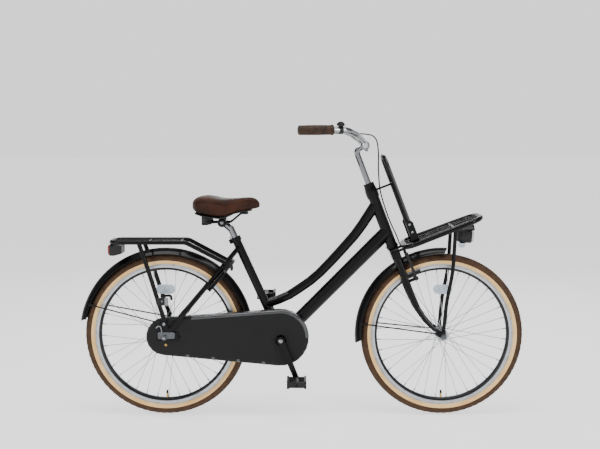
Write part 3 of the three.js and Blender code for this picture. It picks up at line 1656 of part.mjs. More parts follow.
// Half of the handlebar's line from the clamp, level with the ground: forwards, outwards, up
const barHalf = [
  v3(0, 0, 0),
  v3(0, bar.straight, 0),
  v3(-bar.sweep * 0.06, bar.halfSpan * 0.377, bar.rise * 0.32),
  v3(-bar.sweep * 0.166, bar.halfSpan * 0.651, bar.rise * 0.71),
  v3(-bar.sweep * 0.3, bar.halfSpan * 0.815, bar.rise * 0.98),
  v3(-bar.sweep * 0.515, bar.halfSpan * 0.884, bar.rise),
  v3(-bar.sweep, bar.halfSpan, bar.rise * 0.98),
];
const barPoints = [...mirrored(barHalf.slice(1)).toReversed(), ...barHalf.slice(1)];
const gripFrom = barHalf[barHalf.length - 2];
const gripEnd = barHalf[barHalf.length - 1];
const gripWay = gripEnd.clone().sub(gripFrom).normalize();
function handlebarSolid() {
  return pipe(barPoints, bar.radius, { bend: bar.bend, sides: 8, arcSteps: 1 });
}

// Grip: a closed rubber sleeve with a flange at its inner end
function gripSolid() {
  const { length, radius, flangeRadius, flange, wall } = grip;
  const inner = clear(bar.radius, 12);
  const end = length - wall;
  return turned(
    [
      [inner, 0],
      [flangeRadius, 0],
      [flangeRadius, flange],
      [radius, flange],
      [radius, length - wall],
      [radius - wall, length],
      [0, length],
      [0, end],
      [inner, end],
    ],
    12,
  );
}

// Brake lever: in a frame whose Y runs along the bar and whose X points away from it
const leverRun = barHalf[barHalf.length - 2].clone().sub(barHalf[barHalf.length - 3]).normalize();
function leverBracketSolid() {
  const { clampRadius, clampHalf, bodyHalf, cheek, cheekGap, pivotX, pivotRadius } = brakeLever;
  const { barrel, exitX, exitRadius } = brakeLever;
  const ring = rod(v3(0, -clampHalf, 0), v3(0, clampHalf, 0), clampRadius, 14);
  const hubRoom = brakeLever.hubRadius + gap;
  const bodyEnd = pivotX - hubRoom - gap;
  const body = block(v3(bodyEnd / 2, 0, 0), v3(bodyEnd, 2 * bodyHalf, 2 * bodyHalf));
  const cheeks = [-1, 1].map((side) =>
    block(
      v3((bodyEnd + pivotX) / 2, 0, side * (cheekGap / 2 + cheek / 2)),
      v3(pivotX - bodyEnd + 2 * pivotRadius + 2 * cheek, 2 * bodyHalf, cheek),
    ),
  );
  const pin = rod(
    v3(pivotX, 0, -cheekGap / 2 - cheek / 2),
    v3(pivotX, 0, cheekGap / 2 + cheek / 2),
    pivotRadius,
    8,
  );
  const exit = rod(v3(exitX, -hubRoom, 0), v3(exitX, -barrel, 0), exitRadius, 8);
  const bore = hole(v3(0, -barrel, 0), v3(0, barrel, 0), bar.radius, 12);
  return cut(join(ring, body, cheeks, pin, exit), bore);
}
function brakeLeverSolid() {
  const { hubRadius, pivotX, pivotRadius, cheekGap, bladeRadius, bladeOut, length, ball } = brakeLever;
  const half = cheekGap / 2 - gap;
  const at = (z) => v3(pivotX, 0, z);
  const hub = rod(at(-half), at(half), hubRadius, 10);
  const blade = pipe(
    [v3(pivotX, 0, 0), v3(pivotX + bladeOut, length * 0.22, 0), v3(pivotX + bladeOut * 1.1, length, 0)],
    bladeRadius,
    { bend: bladeOut, sides: 6, arcSteps: 2 },
  );
  const tip = solid(new THREE.SphereGeometry(ball, 8, 5).translate(pivotX + bladeOut * 1.1, length, 0));
  const bore = hole(at(-half - overrun), at(half + overrun), pivotRadius, 8);
  return cut(join(hub, blade, tip), bore);
}

// Bell: a clamp on the bar, a dome over it, and a thumb lever beside it. Z points up, Y along the bar
function bellBaseSolid() {
  const { clampRadius, clampHalf, discRadius, discZ, disc, postRadius, pinRadius, pinX, radius, height, wall } = bell;
  const ring = rod(v3(0, -clampHalf, 0), v3(0, clampHalf, 0), clampRadius, 12);
  const up = (x, z) => v3(x, 0, z);
  const plateUp = rod(up(0, discZ), up(0, discZ + disc), discRadius, 12);
  const neck = rod(up(0, 0), up(0, discZ + disc / 2), clampHalf, 10);
  const domeInside = discZ + disc + height - wall - postRadius;
  const stud = rod(up(0, discZ), up(0, domeInside), postRadius, 8);
  const lugLength = pinX - discRadius + 2 * pinRadius + disc;
  const lug = block(v3((discRadius + pinX) / 2, 0, discZ + disc / 2), v3(lugLength, 2 * disc, disc));
  const pin = rod(up(pinX, discZ), up(pinX, discZ + disc + radius / 2), pinRadius, 8);
  const bore = hole(v3(0, -radius, 0), v3(0, radius, 0), bar.radius, 12);
  return cut(join(ring, plateUp, neck, stud, lug, pin), bore);
}
function bellDomeSolid() {
  const { radius, height, wall, discZ, disc } = bell;
  const foot = discZ + disc + gap;
  const curve = (r, h) => [0, 0.35, 0.65, 0.88, 1].map((share) => [
    r * Math.sqrt(1 - share ** 2),
    foot + h * share,
  ]);
  const inside = curve(radius - wall, height - wall).toReversed();
  return turnedUp([...curve(radius, height), ...inside], 14);
}
function bellLeverSolid() {
  const { pinRadius, pinX, discZ, disc, radius, leverLength, leverRadius } = bell;
  const low = discZ + disc + gap;
  const high = low + radius / 3;
  const hub = rod(v3(pinX, 0, low), v3(pinX, 0, high), pinRadius + leverRadius, 8);
  const middle = (low + high) / 2;
  const end = v3(pinX + leverRadius, -leverLength, middle);
  const arm = rod(v3(pinX, 0, middle), end, leverRadius * 0.7, 6);
  const thumb = rod(end.clone().setZ(low), end.clone().setZ(high + leverRadius), leverRadius * 1.3, 8);
  const bore = hole(v3(pinX, 0, low - overrun), v3(pinX, 0, high + overrun), pinRadius, 8);
  return cut(join(hub, arm, thumb), bore);
}

// A place and a direction: Y runs along it, and X is as near as can be to the way given
function alongMatrix(place, along, outwards) {
  const x = outwards.clone().addScaledVector(along, -outwards.dot(along)).normalize();
  return new THREE.Matrix4().makeBasis(x, along, x.clone().cross(along)).setPosition(place);
}

// Where the lever and the bell sit on the bar, for the side that the sign gives
const mirror = (p, side) => v3(p.x, side * p.y, p.z);
const onBar = (side, inboard) => mirror(gripFrom.clone().addScaledVector(leverRun, -inboard), side);
const leverMatrix = alongMatrix(
  onBar(1, brakeLever.inboard),
  leverRun,
  v3(0, Math.cos(brakeLever.droop), -Math.sin(brakeLever.droop)),
);

// The brake cable's route, chosen by hand. From the lever to the head it is level with the ground
// from the handlebar's clamp, and below that it is in the steering frame.
const leverCablePoints = [
  [-12, 205, 43],
  [18, 150, 40],
  [38, 92, 33],
  [48, 40, 12],
  [51, 8, -30],
  [51, 0, -94],
];
const headCablePoints = [
  [31.5, 0, 582],
  [26, 0, 520],
  [25, 0, 460],
  [29, 0, 405],
  [29, 0, 380],
  [30, -11, 365],
  [34, -26, 358],
  [38, -37, 351],
  [39, -34, 343],
  [39, -24, 341],
  [39, 0, 341],
  [39, 33, 341],
];
function brakeCableSolid() {
  const { barrel, exitX } = brakeLever;
  const start = [-barrel - 2 * gap, -barrel - cable.lead].map((y) => v3(exitX, y, 0).applyMatrix4(leverMatrix));
  const points = [
    ...[...start, ...leverCablePoints.map((p) => v3(...p))].map((p) => p.applyMatrix4(levelMatrix(barCentre))),
    ...headCablePoints.map((p) => v3(...p)),
  ];
  const curve = new THREE.CatmullRomCurve3(points);
  const circle = new THREE.Shape().absarc(0, 0, cable.radius, 0, TURN);
  const options = { steps: cable.steps, extrudePath: curve, bevelEnabled: false, curveSegments: 3 };
  return solid(new THREE.ExtrudeGeometry(circle, options));
}

// Rim brake arm on its stud, with the shoe that faces the rim
function brakeShoeArmSolid(side) {
  const { armX, armThickness, armInner, armWidth, armLength, pivotZ, pivotY, studRadius } = brake;
  const { padLength, padHeight, padDepth, padDrop, padClearance, footRadius, postRadius } = brake;
  const y = (along) => side * along;
  const arm = block(
    v3(armX, y(armInner + armWidth / 2), pivotZ + armLength / 2),
    v3(armThickness, armWidth, armLength),
  );
  const at = (x) => v3(x, y(pivotY), pivotZ);
  const foot = rod(at(armX - armThickness / 2), at(armX + armThickness / 2), footRadius, 12);
  const bore = hole(at(armX - armThickness), at(armX + armThickness), studRadius, 10);
  // The shoe lies along the rim, with its upper corners just below the rim's edge
  const rimReach = Math.sqrt((rimOuter - padDrop) ** 2 - (padLength / 2) ** 2) - padHeight / 2;
  const padZ = Math.sqrt(rimReach ** 2 - (forkRake - armX) ** 2);
  const padMiddle = v3(armX, y(wheel.rimWidth / 2 + padClearance + padDepth / 2), padZ);
  const padTurn = new THREE.Matrix4().makeRotationY(Math.atan2(armX - forkRake, padZ)).setPosition(padMiddle);
  const pad = moved(block(v3(0, 0, 0), v3(padLength, padDepth, padHeight)), padTurn);
  const shank = rod(padMiddle, v3(armX, y(armInner + armWidth / 2), padZ), postRadius, 8);
  return cut(join(arm, foot, pad, shank), bore);
}

// Front carrier deck: a looped tube with long rods and cross bars, bolted to the fork crown
function frontDeckSolid() {
  const { deckZ, back, front, halfBack, halfFront, tube, rodRadius, rodY } = frontCarrier;
  const { uprightX, uprightY, legX, lugHalf, lugY, plateThickness, plateWidth, plateHeight } = frontCarrier;
  const half = (side) =>
    pipe(
      [
        v3(back, -side * tube, deckZ),
        v3(back, side * halfBack, deckZ),
        v3(front, side * halfFront, deckZ),
        v3(front, -side * tube, deckZ),
      ],
      tube,
      { bend: frontCarrier.corner, sides: 8, arcSteps: 3 },
    );
  const widthAt = (x) => THREE.MathUtils.mapLinear(x, back, front, halfBack, halfFront);
  const across = (x, radius) => rod(v3(x, -widthAt(x), deckZ), v3(x, widthAt(x), deckZ), radius, 6);
  const rods = [-rodY, 0, rodY].map((y) => rod(v3(back, y, deckZ), v3(front, y, deckZ), rodRadius, 6));
  const crownFace = fork.crownDepth / 2 + gap;
  const lugs = [-1, 1].map((side) =>
    block(
      v3((crownFace + back) / 2, side * lugY, deckZ - tube / 2),
      v3(back - crownFace, 2 * lugHalf, tube),
    ),
  );
  const plates = [-1, 1].map((side) =>
    block(
      v3(uprightX, side * (uprightY + tube + gap + plateThickness / 2), deckZ + plateHeight / 2),
      v3(plateWidth, plateThickness, plateHeight),
    ),
  );
  return join(half(-1), half(1), across(uprightX, tube), across(legX, rodRadius), rods, lugs, plates);
}

// Upright hoop at the rear of the deck, braced to the headset
function frontUprightSolid() {
  const { deckZ, uprightX, uprightY, uprightTop, tube, braceZ, braceY, braceRadius } = frontCarrier;
  const foot = deckZ + tube + gap;
  const hoop = pipe(
    [
      v3(uprightX, -uprightY, foot),
      v3(uprightX, -uprightY, uprightTop),
      v3(uprightX, uprightY, uprightTop),
      v3(uprightX, uprightY, foot),
    ],
    tube,
    { bend: frontCarrier.hoopCorner, sides: 8, arcSteps: 4 },
  );
  const across = (y) => v3(uprightX, y, braceZ);
  const crossBar = rod(across(-uprightY), across(uprightY), frontCarrier.barRadius, 8);
  const braces = [-1, 1].map((side) =>
    rod(v3(0, side * braceY, braceZ), across(side * braceY), braceRadius, 8),
  );
  const coverTool = rod(
    v3(0, 0, headTube.bottom),
    v3(0, 0, headTube.bottom + headTube.length + headsetCover.height),
    clear(headsetCover.radius, 16),
    16,
  );
  return join(hoop, crossBar, cut(join(braces), coverTool));
}

// Front carrier legs: from the deck down to the ends of the front axle
const legTabInner = forkTipOuter + gap;
const legTabOuter = legTabInner + frontCarrier.legTab;
function frontLegsSolid() {
  const { legY, legTube } = frontCarrier;
  const tabY = (legTabInner + legTabOuter) / 2;
  const legShares = [
    [0, 0],
    [0.045, 0.058],
    [0.115, 0.13],
    [0.33, 0.345],
    [0.65, 0.61],
    [0.94, 0.93],
    [1, 1],
  ];
  const flatRings = 2;
  const places = legShares.map(([x, z], i) =>
    v3(
      THREE.MathUtils.lerp(forkRake, lampBarPlace.x, x),
      i < flatRings ? tabY : legY,
      z * lampBarPlace.z,
    ),
  );
  const leg = (side) => {
    const rings = places.map((p, i) => {
      const before = places[Math.max(i - 1, 0)];
      const after = places[Math.min(i + 1, places.length - 1)];
      const way = after.clone().sub(before).setY(0).normalize();
      const flat = i < flatRings;
      const depth = flat ? frontCarrier.legTabWidth : 2 * legTube;
      const width = flat ? frontCarrier.legTab : 2 * legTube;
      return ovalRing(p.clone().setY(side * p.y), way, depth, width, 8);
    });
    const at = (y) => v3(forkRake, side * y, 0);
    return join(loft(rings), rod(at(legTabInner), at(legTabOuter), frontCarrier.legTabWidth / 2, 14));
  };
  const bore = hole(
    v3(forkRake, -legTabOuter - overrun, 0),
    v3(forkRake, legTabOuter + overrun, 0),
    frontHub.axleRadius,
  );
  return cut(join(leg(-1), leg(1), rod(lampBarEnd(-1), lampBarEnd(1), legTube, 10)), bore);
}

// The cross bar between the legs, under the deck, that the headlight hangs on
const lampBarPlace = v3(
  frontCarrier.legX,
  0,
  frontCarrier.deckZ - frontCarrier.rodRadius - frontCarrier.legTube - gap,
);
const lampBarEnd = (side) => lampBarPlace.clone().setY(side * (frontCarrier.legY + frontCarrier.legTube));

// Headlight, level with the ground: a round housing with a peak, its face forwards
const levelMatrix = (place) => new THREE.Matrix4().makeRotationY(-steeringLean).setPosition(place);
const lampPlace = lampBarPlace.clone().add(v3(headlight.aheadOfBar, 0, -headlight.belowBar));
const lampFace = headlight.length - headlight.lensDepth;
function headlightBodySolid() {
  const { radius, wall, length, hood, hoodThickness, backShare } = headlight;
  const about = (profile) =>
    solid(new THREE.LatheGeometry([...profile, profile[0]].map(([r, x]) => v2(r, x)), 20).rotateZ(-90 * DEG));
  const housing = about([
    [0, 0],
    [radius * backShare, 0],
    [radius, length * 0.3],
    [radius, length],
    [radius - wall, length],
    [radius - wall, length * 0.33],
    [radius * backShare - wall, wall],
    [0, wall],
  ]);
  const peak = about([
    [radius - wall / 2, length - hood],
    [radius + hoodThickness, length - hood],
    [radius + hoodThickness, length + hood / 2],
    [radius + hoodThickness / 3, length + hood / 2],
  ]);
  const below = block(v3(length, 0, -radius / 2), v3(4 * radius, 4 * radius, 2 * radius));
  const toLamp = levelMatrix(lampPlace).invert();
  const barTool = moved(hole(lampBarEnd(-1), lampBarEnd(1), frontCarrier.legTube, 10), toLamp);
  const barAt = lampBarPlace.clone().applyMatrix4(toLamp);
  const lug = block(v3(barAt.x / 2, 0, barAt.z * 0.8), v3(2 * wall - barAt.x, radius / 2, radius / 3));
  const inside = about([
    [0, wall],
    [radius * backShare - wall, wall],
    [radius - wall, length * 0.33],
    [radius - wall, length + overrun],
    [0, length + overrun],
  ]);
  return join(housing, cut(peak, below), cut(lug, barTool, inside));
}
function headlightLensSolid() {
  const { radius, wall, length, bulge } = headlight;
  const r = radius - wall - gap;
  const profile = [
    [0, lampFace],
    [r, lampFace],
    [r, length],
    [r * 0.7, length + bulge * 0.7],
    [0, length + bulge],
  ];
  return solid(new THREE.LatheGeometry(profile.map(([a, b]) => v2(a, b)), 20).rotateZ(-90 * DEG));
}

// Ring lock in the plane across the wheel: X is the bike's left, Y points away from the axle
const lockMatrix = new THREE.Matrix4()
  .makeBasis(v3(0, 1, 0), stayUp, v3(0, 1, 0).cross(stayUp))
  .setPosition(stayPlace(lock.reach));
const lockFoot = seatStay.radius + gap;
const lockMiddle = lockFoot + lock.thickness / 2;
const lockTrack = (lock.inner + lock.outer) / 2;

// A round bar bent along an arc in the lock's plane
function arcBar(radius, barRadius, from, to, steps, sides) {
  const rings = Array.from({ length: steps + 1 }, (_, i) => {
    const a = from + ((to - from) * i) / steps;
    return Array.from({ length: sides }, (_, j) => {
      const b = (TURN * j) / sides;
      const r = radius + barRadius * Math.cos(b);
      return v3(r * Math.cos(a), r * Math.sin(a), lockMiddle + barRadius * Math.sin(b));
    });
  });
  return loft(rings);
}

function lockBodySolid() {
  const { inner, outer, thickness, openHalf, housingHalf, housingTop, shackleRadius, reach } = lock;
  const top = housingTop - reach;
  const start = openHalf - 90 * DEG;
  const side = Math.acos(housingHalf / outer);
  const shape = new THREE.Shape();
  shape.absarc(0, 0, outer, start, side);
  shape.lineTo(housingHalf, top - lock.corner);
  shape.lineTo(housingHalf - lock.corner, top);
  shape.lineTo(lock.corner - housingHalf, top);
  shape.lineTo(-housingHalf, top - lock.corner);
  shape.absarc(0, 0, outer, 180 * DEG - side, 180 * DEG - start);
  shape.absarc(0, 0, inner, 180 * DEG - start, start, true);
  const options = { depth: thickness, bevelEnabled: false, curveSegments: 10 };
  const body = solid(new THREE.ExtrudeGeometry(shape, options).translate(0, 0, lockFoot));
  const room = clear(shackleRadius + gap, 8);
  const groove = arcBar(lockTrack, room, lock.from - lock.play, lock.to + lock.travel + lock.play, 16, 8);
  const slotShape = new THREE.Shape();
  const slotFrom = lock.knobAngle - lock.play;
  const slotTo = lock.knobAngle + lock.travel + lock.play;
  slotShape.absarc(0, 0, outer + overrun, slotFrom, slotTo);
  slotShape.absarc(0, 0, lockTrack, slotTo, slotFrom, true);
  const slotWidth = 2 * (lock.knobStem + gap);
  const slot = solid(
    new THREE.ExtrudeGeometry(slotShape, { depth: slotWidth, bevelEnabled: false, curveSegments: 6 }).translate(
      0,
      0,
      lockMiddle - slotWidth / 2,
    ),
  );
  return cut(body, groove, slot);
}

// The lock's sliding bow with the knob that pushes it through the wheel
function shackleSolid() {
  const bow = arcBar(lockTrack, lock.shackleRadius, lock.from, lock.to, 10, 8);
  const at = (r) => v3(r * Math.cos(lock.knobAngle), r * Math.sin(lock.knobAngle), lockMiddle);
  const stemOut = lock.outer + 2 * gap;
  const stalk = rod(at(lockTrack), at(stemOut + overrun), lock.knobStem, 8);
  const knob = rod(at(stemOut), at(stemOut + lock.knobHeight), lock.knobRadius, 10);
  return join(bow, stalk, knob);
}

// A group placed in its parent by a matrix
function groupAt(parent, matrix) {
  const group = new THREE.Group();
  group.applyMatrix4(matrix);
  parent.add(group);
  return group;
}

function addFrame(bike) {
  part(bike, "head_tube", moved(headTubeSolid(), steeringMatrix), blackPaint);
  part(bike, "top_tube", topTubeSolid(), blackPaint);
  part(bike, "down_tube", downTubeSolid(), blackPaint);
  part(bike, "seat_tube", seatTubeSolid(), blackPaint);
  part(bike, "chain_stays", chainStaysSolid(), blackPaint);
  part(bike, "seat_stays", seatStaysSolid(), blackPaint);
  part(bike, "seat_clamp", seatClampSolid(), blackPaint);
  part(bike, "kickstand_leg", standSolid(), blackPaint);
}

function addDrive(bike) {
  const rear = new THREE.Group();
  rear.position.set(rearAxleX, 0, axleZ);
  const armOuter = coasterArm.inner + coasterArm.thickness;
  part(rear, "rear_axle", axleSolid(rearHub, dropoutInner, dropoutOuter, driver.outer, armOuter), steel);
  part(rear, "rear_sprocket", sprocketSolid(), steel);
  part(bike, "coaster_brake_arm", brakeArmSolid(), zinc);
  part(bike, "chain", chainSolid(), steel);
  const cranks = new THREE.Group();
  cranks.position.set(bracketX, 0, bracketZ);
  part(cranks, "crank_spindle", crankSpindleSolid(), steel);
  part(cranks, "right_crank", rightCrankSolid(), blackPaint);
  part(cranks, "left_crank", crankArmSolid(1), blackPaint);
  part(cranks, "right_pedal", pedalSolid(-1), blackPlastic).position.copy(crankEnd);
  part(cranks, "left_pedal", pedalSolid(1), blackPlastic).position.copy(crankEnd).negate();
  part(bike, "chain_case_outer", caseOuterSolid(), casePlastic);
  part(bike, "chain_case_inner", caseInnerSolid(), casePlastic);
  bike.add(rear, cranks);
}

function addRearFittings(bike) {
  const eye = rackEye.clone().sub(rearAxle);
  const mudguard = part(bike, "rear_mudguard", guardSolid(rearGuard, eye, wireInner, wireOuter, 18), blackPaint);
  mudguard.position.copy(rearAxle);
  part(bike, "rear_carrier_deck", rearCarrierSolid(), blackPaint);
  part(bike, "right_carrier_leg", carrierLegSolid(-1), blackPaint);
  part(bike, "left_carrier_leg", carrierLegSolid(1), blackPaint);
  part(bike, "tail_light_body", tailBodySolid(), blackPlastic);
  part(bike, "tail_light_lens", tailLensSolid(), redLens);
  part(bike, "ring_lock_body", moved(lockBodySolid(), lockMatrix), blackPlastic);
  part(bike, "ring_lock_shackle", moved(shackleSolid(), lockMatrix), chrome);
}

function addSeat(bike) {
  part(bike, "seat_post", seatPostSolid(), chrome);
  part(bike, "saddle_rails", saddleRailsSolid(), steel);
  part(bike, "saddle_base", saddleBaseSolid(), blackPlastic);
  part(bike, "saddle_cover", saddleCoverSolid(), brownLeather);
}

function addHandlebar(steering) {
  part(steering, "headset_cover", headsetCoverSolid(), blackPlastic);
  part(steering, "stem", stemSolid(), chrome);
  const level = groupAt(steering, levelMatrix(barCentre));
  part(level, "handlebar", handlebarSolid(), chrome);
  const addGrip = (name, side) => {
    const way = mirror(gripWay, side);
    const start = mirror(gripEnd, side).addScaledVector(way, grip.wall + gap - grip.length);
    part(groupAt(level, alongMatrix(start, way, v3(0, 0, 1))), name, gripSolid(), brownLeather);
  };
  addGrip("right_grip", -1);
  addGrip("left_grip", 1);
  const lever = groupAt(level, leverMatrix);
  part(lever, "brake_lever_bracket", leverBracketSolid(), blackPlastic);
  part(lever, "brake_lever", brakeLeverSolid(), blackPlastic);
  const inwards = mirror(leverRun, -1).negate();
  const bellGroup = groupAt(level, alongMatrix(onBar(-1, bell.inboard), inwards, v3(0, -1, 0)));
  part(bellGroup, "bell_base", bellBaseSolid(), blackPlastic);
  part(bellGroup, "bell_dome", bellDomeSolid(), blackPaint);
  part(bellGroup, "bell_lever", bellLeverSolid(), blackPlastic);
}

function addFrontFittings(steering) {
  part(steering, "brake_cable", brakeCableSolid(), blackRubber);
  part(steering, "right_brake_arm", brakeShoeArmSolid(-1), blackPlastic);
  part(steering, "left_brake_arm", brakeShoeArmSolid(1), blackPlastic);
  part(steering, "front_carrier_deck", frontDeckSolid(), blackPaint);
  part(steering, "front_carrier_upright", frontUprightSolid(), blackPaint);
  part(steering, "front_carrier_legs", frontLegsSolid(), blackPaint);
  const lamp = groupAt(steering, levelMatrix(lampPlace));
  part(lamp, "headlight_body", headlightBodySolid(), blackPlastic);
  part(lamp, "headlight_lens", headlightLensSolid(), clearLens);
  const wheelPlace = groupAt(steering, levelMatrix(v3(forkRake, 0, 0)));
  const eye = frontEye.clone().sub(v3(forkRake, 0, 0)).applyAxisAngle(v3(0, 1, 0), steeringLean);
  const inner = forkTipOuter + gap;
  const guardForm = guardSolid(frontGuard, eye, inner, inner + rackBolt.wireEye, 12);
  part(wheelPlace, "front_mudguard", guardForm, blackPaint);
  const end = frontHub.halfLength;
  part(wheelPlace, "front_axle", axleSolid(frontHub, forkTipInner, legTabOuter, end, end), steel);
}

function buildBike() {
  const bike = new THREE.Group();
  addFrame(bike);
  addDrive(bike);
  addRearFittings(bike);
  addSeat(bike);
  const steering = steeringGroup();
  part(steering, "fork", forkSolid(), blackPaint);
  addHandlebar(steering);
  addFrontFittings(steering);
  bike.add(steering);
  addWheel(bike, "rear", rearHubSolid(), rearHub, rearAxleX);
  addWheel(bike, "front", frontHubSolid(), frontHub, frontAxleX);
  return bike;
}

export default buildBike();
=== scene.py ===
# %% [markdown]
# # A Dutch city bike for a child
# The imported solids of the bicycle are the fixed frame. This file gives them their finishes and puts
# finer pieces where the solids stay plain: tyres with a tread, rims, laced spokes, mudguards, the
# sewn saddle, the grips and the lamp. A finer piece always lies where its plain solid was.

import json
import math

import bmesh
import bpy
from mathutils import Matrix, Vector


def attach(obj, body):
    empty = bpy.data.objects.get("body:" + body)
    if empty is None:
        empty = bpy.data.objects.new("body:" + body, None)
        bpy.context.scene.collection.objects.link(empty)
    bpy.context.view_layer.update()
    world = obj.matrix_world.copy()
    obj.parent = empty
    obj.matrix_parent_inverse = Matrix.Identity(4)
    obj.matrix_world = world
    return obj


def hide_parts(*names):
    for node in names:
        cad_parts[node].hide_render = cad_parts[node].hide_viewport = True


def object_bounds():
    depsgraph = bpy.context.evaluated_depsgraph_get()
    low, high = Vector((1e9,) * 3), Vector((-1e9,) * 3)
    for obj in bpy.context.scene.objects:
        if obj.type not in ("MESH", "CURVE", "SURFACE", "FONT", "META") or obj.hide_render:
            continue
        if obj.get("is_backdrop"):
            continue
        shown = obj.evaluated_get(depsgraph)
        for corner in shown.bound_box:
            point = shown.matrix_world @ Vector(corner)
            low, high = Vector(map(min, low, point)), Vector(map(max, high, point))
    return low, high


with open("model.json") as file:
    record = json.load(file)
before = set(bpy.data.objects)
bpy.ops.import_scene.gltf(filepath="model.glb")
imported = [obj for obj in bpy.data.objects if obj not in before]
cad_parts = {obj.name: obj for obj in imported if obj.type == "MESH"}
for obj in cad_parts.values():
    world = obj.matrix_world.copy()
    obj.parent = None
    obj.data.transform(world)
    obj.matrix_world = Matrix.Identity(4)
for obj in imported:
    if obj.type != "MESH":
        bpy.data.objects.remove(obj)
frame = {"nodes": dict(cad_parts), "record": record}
cad_low, cad_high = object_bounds()
MM = 0.001
TURN = 2 * math.pi
print("solids:", len(frame["nodes"]), "box:", [round(v, 3) for v in (*cad_low, *cad_high)])

# %% [markdown]
# ## Camera
# The view was found from the two wheels, whose real size is known: the camera stands about four
# metres away at eye height of a child, square to the bike, and looks down by five degrees.

# %% Camera
PHOTO_WIDTH, FOCAL_PIXELS, SENSOR = 600, 1057, 36
TILT = 5.0013
camera = bpy.data.objects.new("camera", bpy.data.cameras.new("camera"))
bpy.context.scene.collection.objects.link(camera)
camera.data.sensor_width = SENSOR
camera.data.lens = SENSOR * FOCAL_PIXELS / PHOTO_WIDTH
camera.location = (-0.00763, -3.8886, 1.0492)
camera.rotation_euler = (math.radians(90 - TILT), 0, 0)
bpy.context.scene.camera = camera
print("camera:", tuple(round(v, 3) for v in camera.location))

# %% [markdown]
# ## Floor and light
# A black bike shows its shape only through what it mirrors. Wide soft lamps above, in front and on
# both sides draw long highlights along the tubes, and a pale floor lifts the undersides.


# %% Floor
def plain(name, colour, roughness):
    material = bpy.data.materials.new(name)
    material.use_nodes = True
    shader = material.node_tree.nodes["Principled BSDF"]
    shader.inputs["Base Color"].default_value = (*colour, 1)
    shader.inputs["Roughness"].default_value = roughness
    return material


floor_mesh = bpy.data.meshes.new("floor")
FAR = 40
floor_corners = [(-FAR, -FAR, 0), (FAR, -FAR, 0), (FAR, FAR, 0), (-FAR, FAR, 0)]
floor_mesh.from_pydata(floor_corners, [], [(0, 1, 2, 3)])
floor = bpy.data.objects.new("floor", floor_mesh)
floor.location.z = -0.0005
pale_floor = plain("pale_floor", (0.5, 0.5, 0.5), 0.8)
floor_shader = pale_floor.node_tree.nodes["Principled BSDF"]
floor_shader.inputs["Emission Color"].default_value = (1, 1, 1, 1)
floor_shader.inputs["Emission Strength"].default_value = 1.12
floor_mesh.materials.append(pale_floor)
bpy.context.scene.collection.objects.link(floor)
floor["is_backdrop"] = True


# %% Light
def soft_lamp(name, place, aim, size, watts):
    lamp = bpy.data.objects.new(name, bpy.data.lights.new(name, "AREA"))
    lamp.data.shape = "RECTANGLE"
    lamp.data.size, lamp.data.size_y = size
    lamp.data.energy = watts
    lamp.location = place
    lamp.rotation_euler = (Vector(aim) - Vector(place)).to_track_quat("-Z", "Y").to_euler()
    bpy.context.scene.collection.objects.link(lamp)


middle = (0, 0, 0.5)
soft_lamp("above", (0, -0.6, 3.4), middle, (3.6, 1.2), 110)
soft_lamp("front_left", (-3.0, -3.2, 1.9), middle, (0.9, 2.4), 80)
soft_lamp("front_right", (3.0, -2.8, 1.6), middle, (0.7, 2.2), 60)
soft_lamp("behind", (0.4, 3.4, 2.4), middle, (3.0, 0.9), 60)

# %% [markdown]
# The studio round the bike is white near the horizon and darker above. Two dark areas lie straight
# ahead of the bike and straight behind it. From the side they change next to nothing: a chrome tube
# gets its contrast from its own darker colour. From the front or the rear they show as a dark disc.

# %% Studio walls
world = bpy.data.worlds.new("studio")
world.use_nodes = True
world_nodes, world_links = world.node_tree.nodes, world.node_tree.links
direction = world_nodes.new("ShaderNodeTexCoord")
height = world_nodes.new("ShaderNodeSeparateXYZ")
walls = world_nodes.new("ShaderNodeValToRGB")
world_links.new(direction.outputs["Generated"], height.inputs["Vector"])
world_links.new(height.outputs["Z"], walls.inputs["Fac"])
walls.color_ramp.elements[0].position, walls.color_ramp.elements[0].color = 0.13, (1, 1, 1, 1)
walls.color_ramp.elements[1].position, walls.color_ramp.elements[1].color = 0.34, (0.25, 0.25, 0.26, 1)
top_of_walls = walls.color_ramp.elements.new(0.9)
top_of_walls.color = (0.4, 0.4, 0.41, 1)
beside = world_nodes.new("ShaderNodeMath")
beside.operation = "ABSOLUTE"
panels = world_nodes.new("ShaderNodeMapRange")
for socket, value in {"From Min": 0.93, "From Max": 0.97, "To Min": 1.0, "To Max": 0.1}.items():
    panels.inputs[socket].default_value = value
shade = world_nodes.new("ShaderNodeMix")
shade.data_type, shade.blend_type = "RGBA", "MULTIPLY"
shade.inputs["Factor"].default_value = 1.0
world_links.new(height.outputs["X"], beside.inputs[0])
world_links.new(beside.outputs["Value"], panels.inputs["Value"])
world_links.new(walls.outputs["Color"], shade.inputs[6])
world_links.new(panels.outputs["Result"], shade.inputs[7])
world_links.new(shade.outputs[2], world_nodes["Background"].inputs["Color"])
world_nodes["Background"].inputs["Strength"].default_value = 1.35
bpy.context.scene.world = world

# %% [markdown]
# ## Finishes
# Each finish starts as one shader with its own gloss. Then noise at the scale of the real surface
# moves its colour and its gloss a little, and a bump gives the grain. The noise reads the object's
# own coordinates, so a finish stays in place when a piece turns. Where vary is used, its two colours
# and its range of roughness are linked over the ones given to finish, so they are what shows.


# %% How a finish is made
def srgb(code):
    parts = [int(code[i : i + 2], 16) / 255 for i in (0, 2, 4)]
    return [p / 12.92 if p <= 0.04045 else ((p + 0.055) / 1.055) ** 2.4 for p in parts]


def finish(name, colour, metallic, roughness, **sockets):
    material = plain(name, srgb(colour), roughness)
    shader = material.node_tree.nodes["Principled BSDF"]
    shader.inputs["Metallic"].default_value = metallic
    for socket, value in sockets.items():
        shader.inputs[socket.replace("_", " ")].default_value = value
    return material


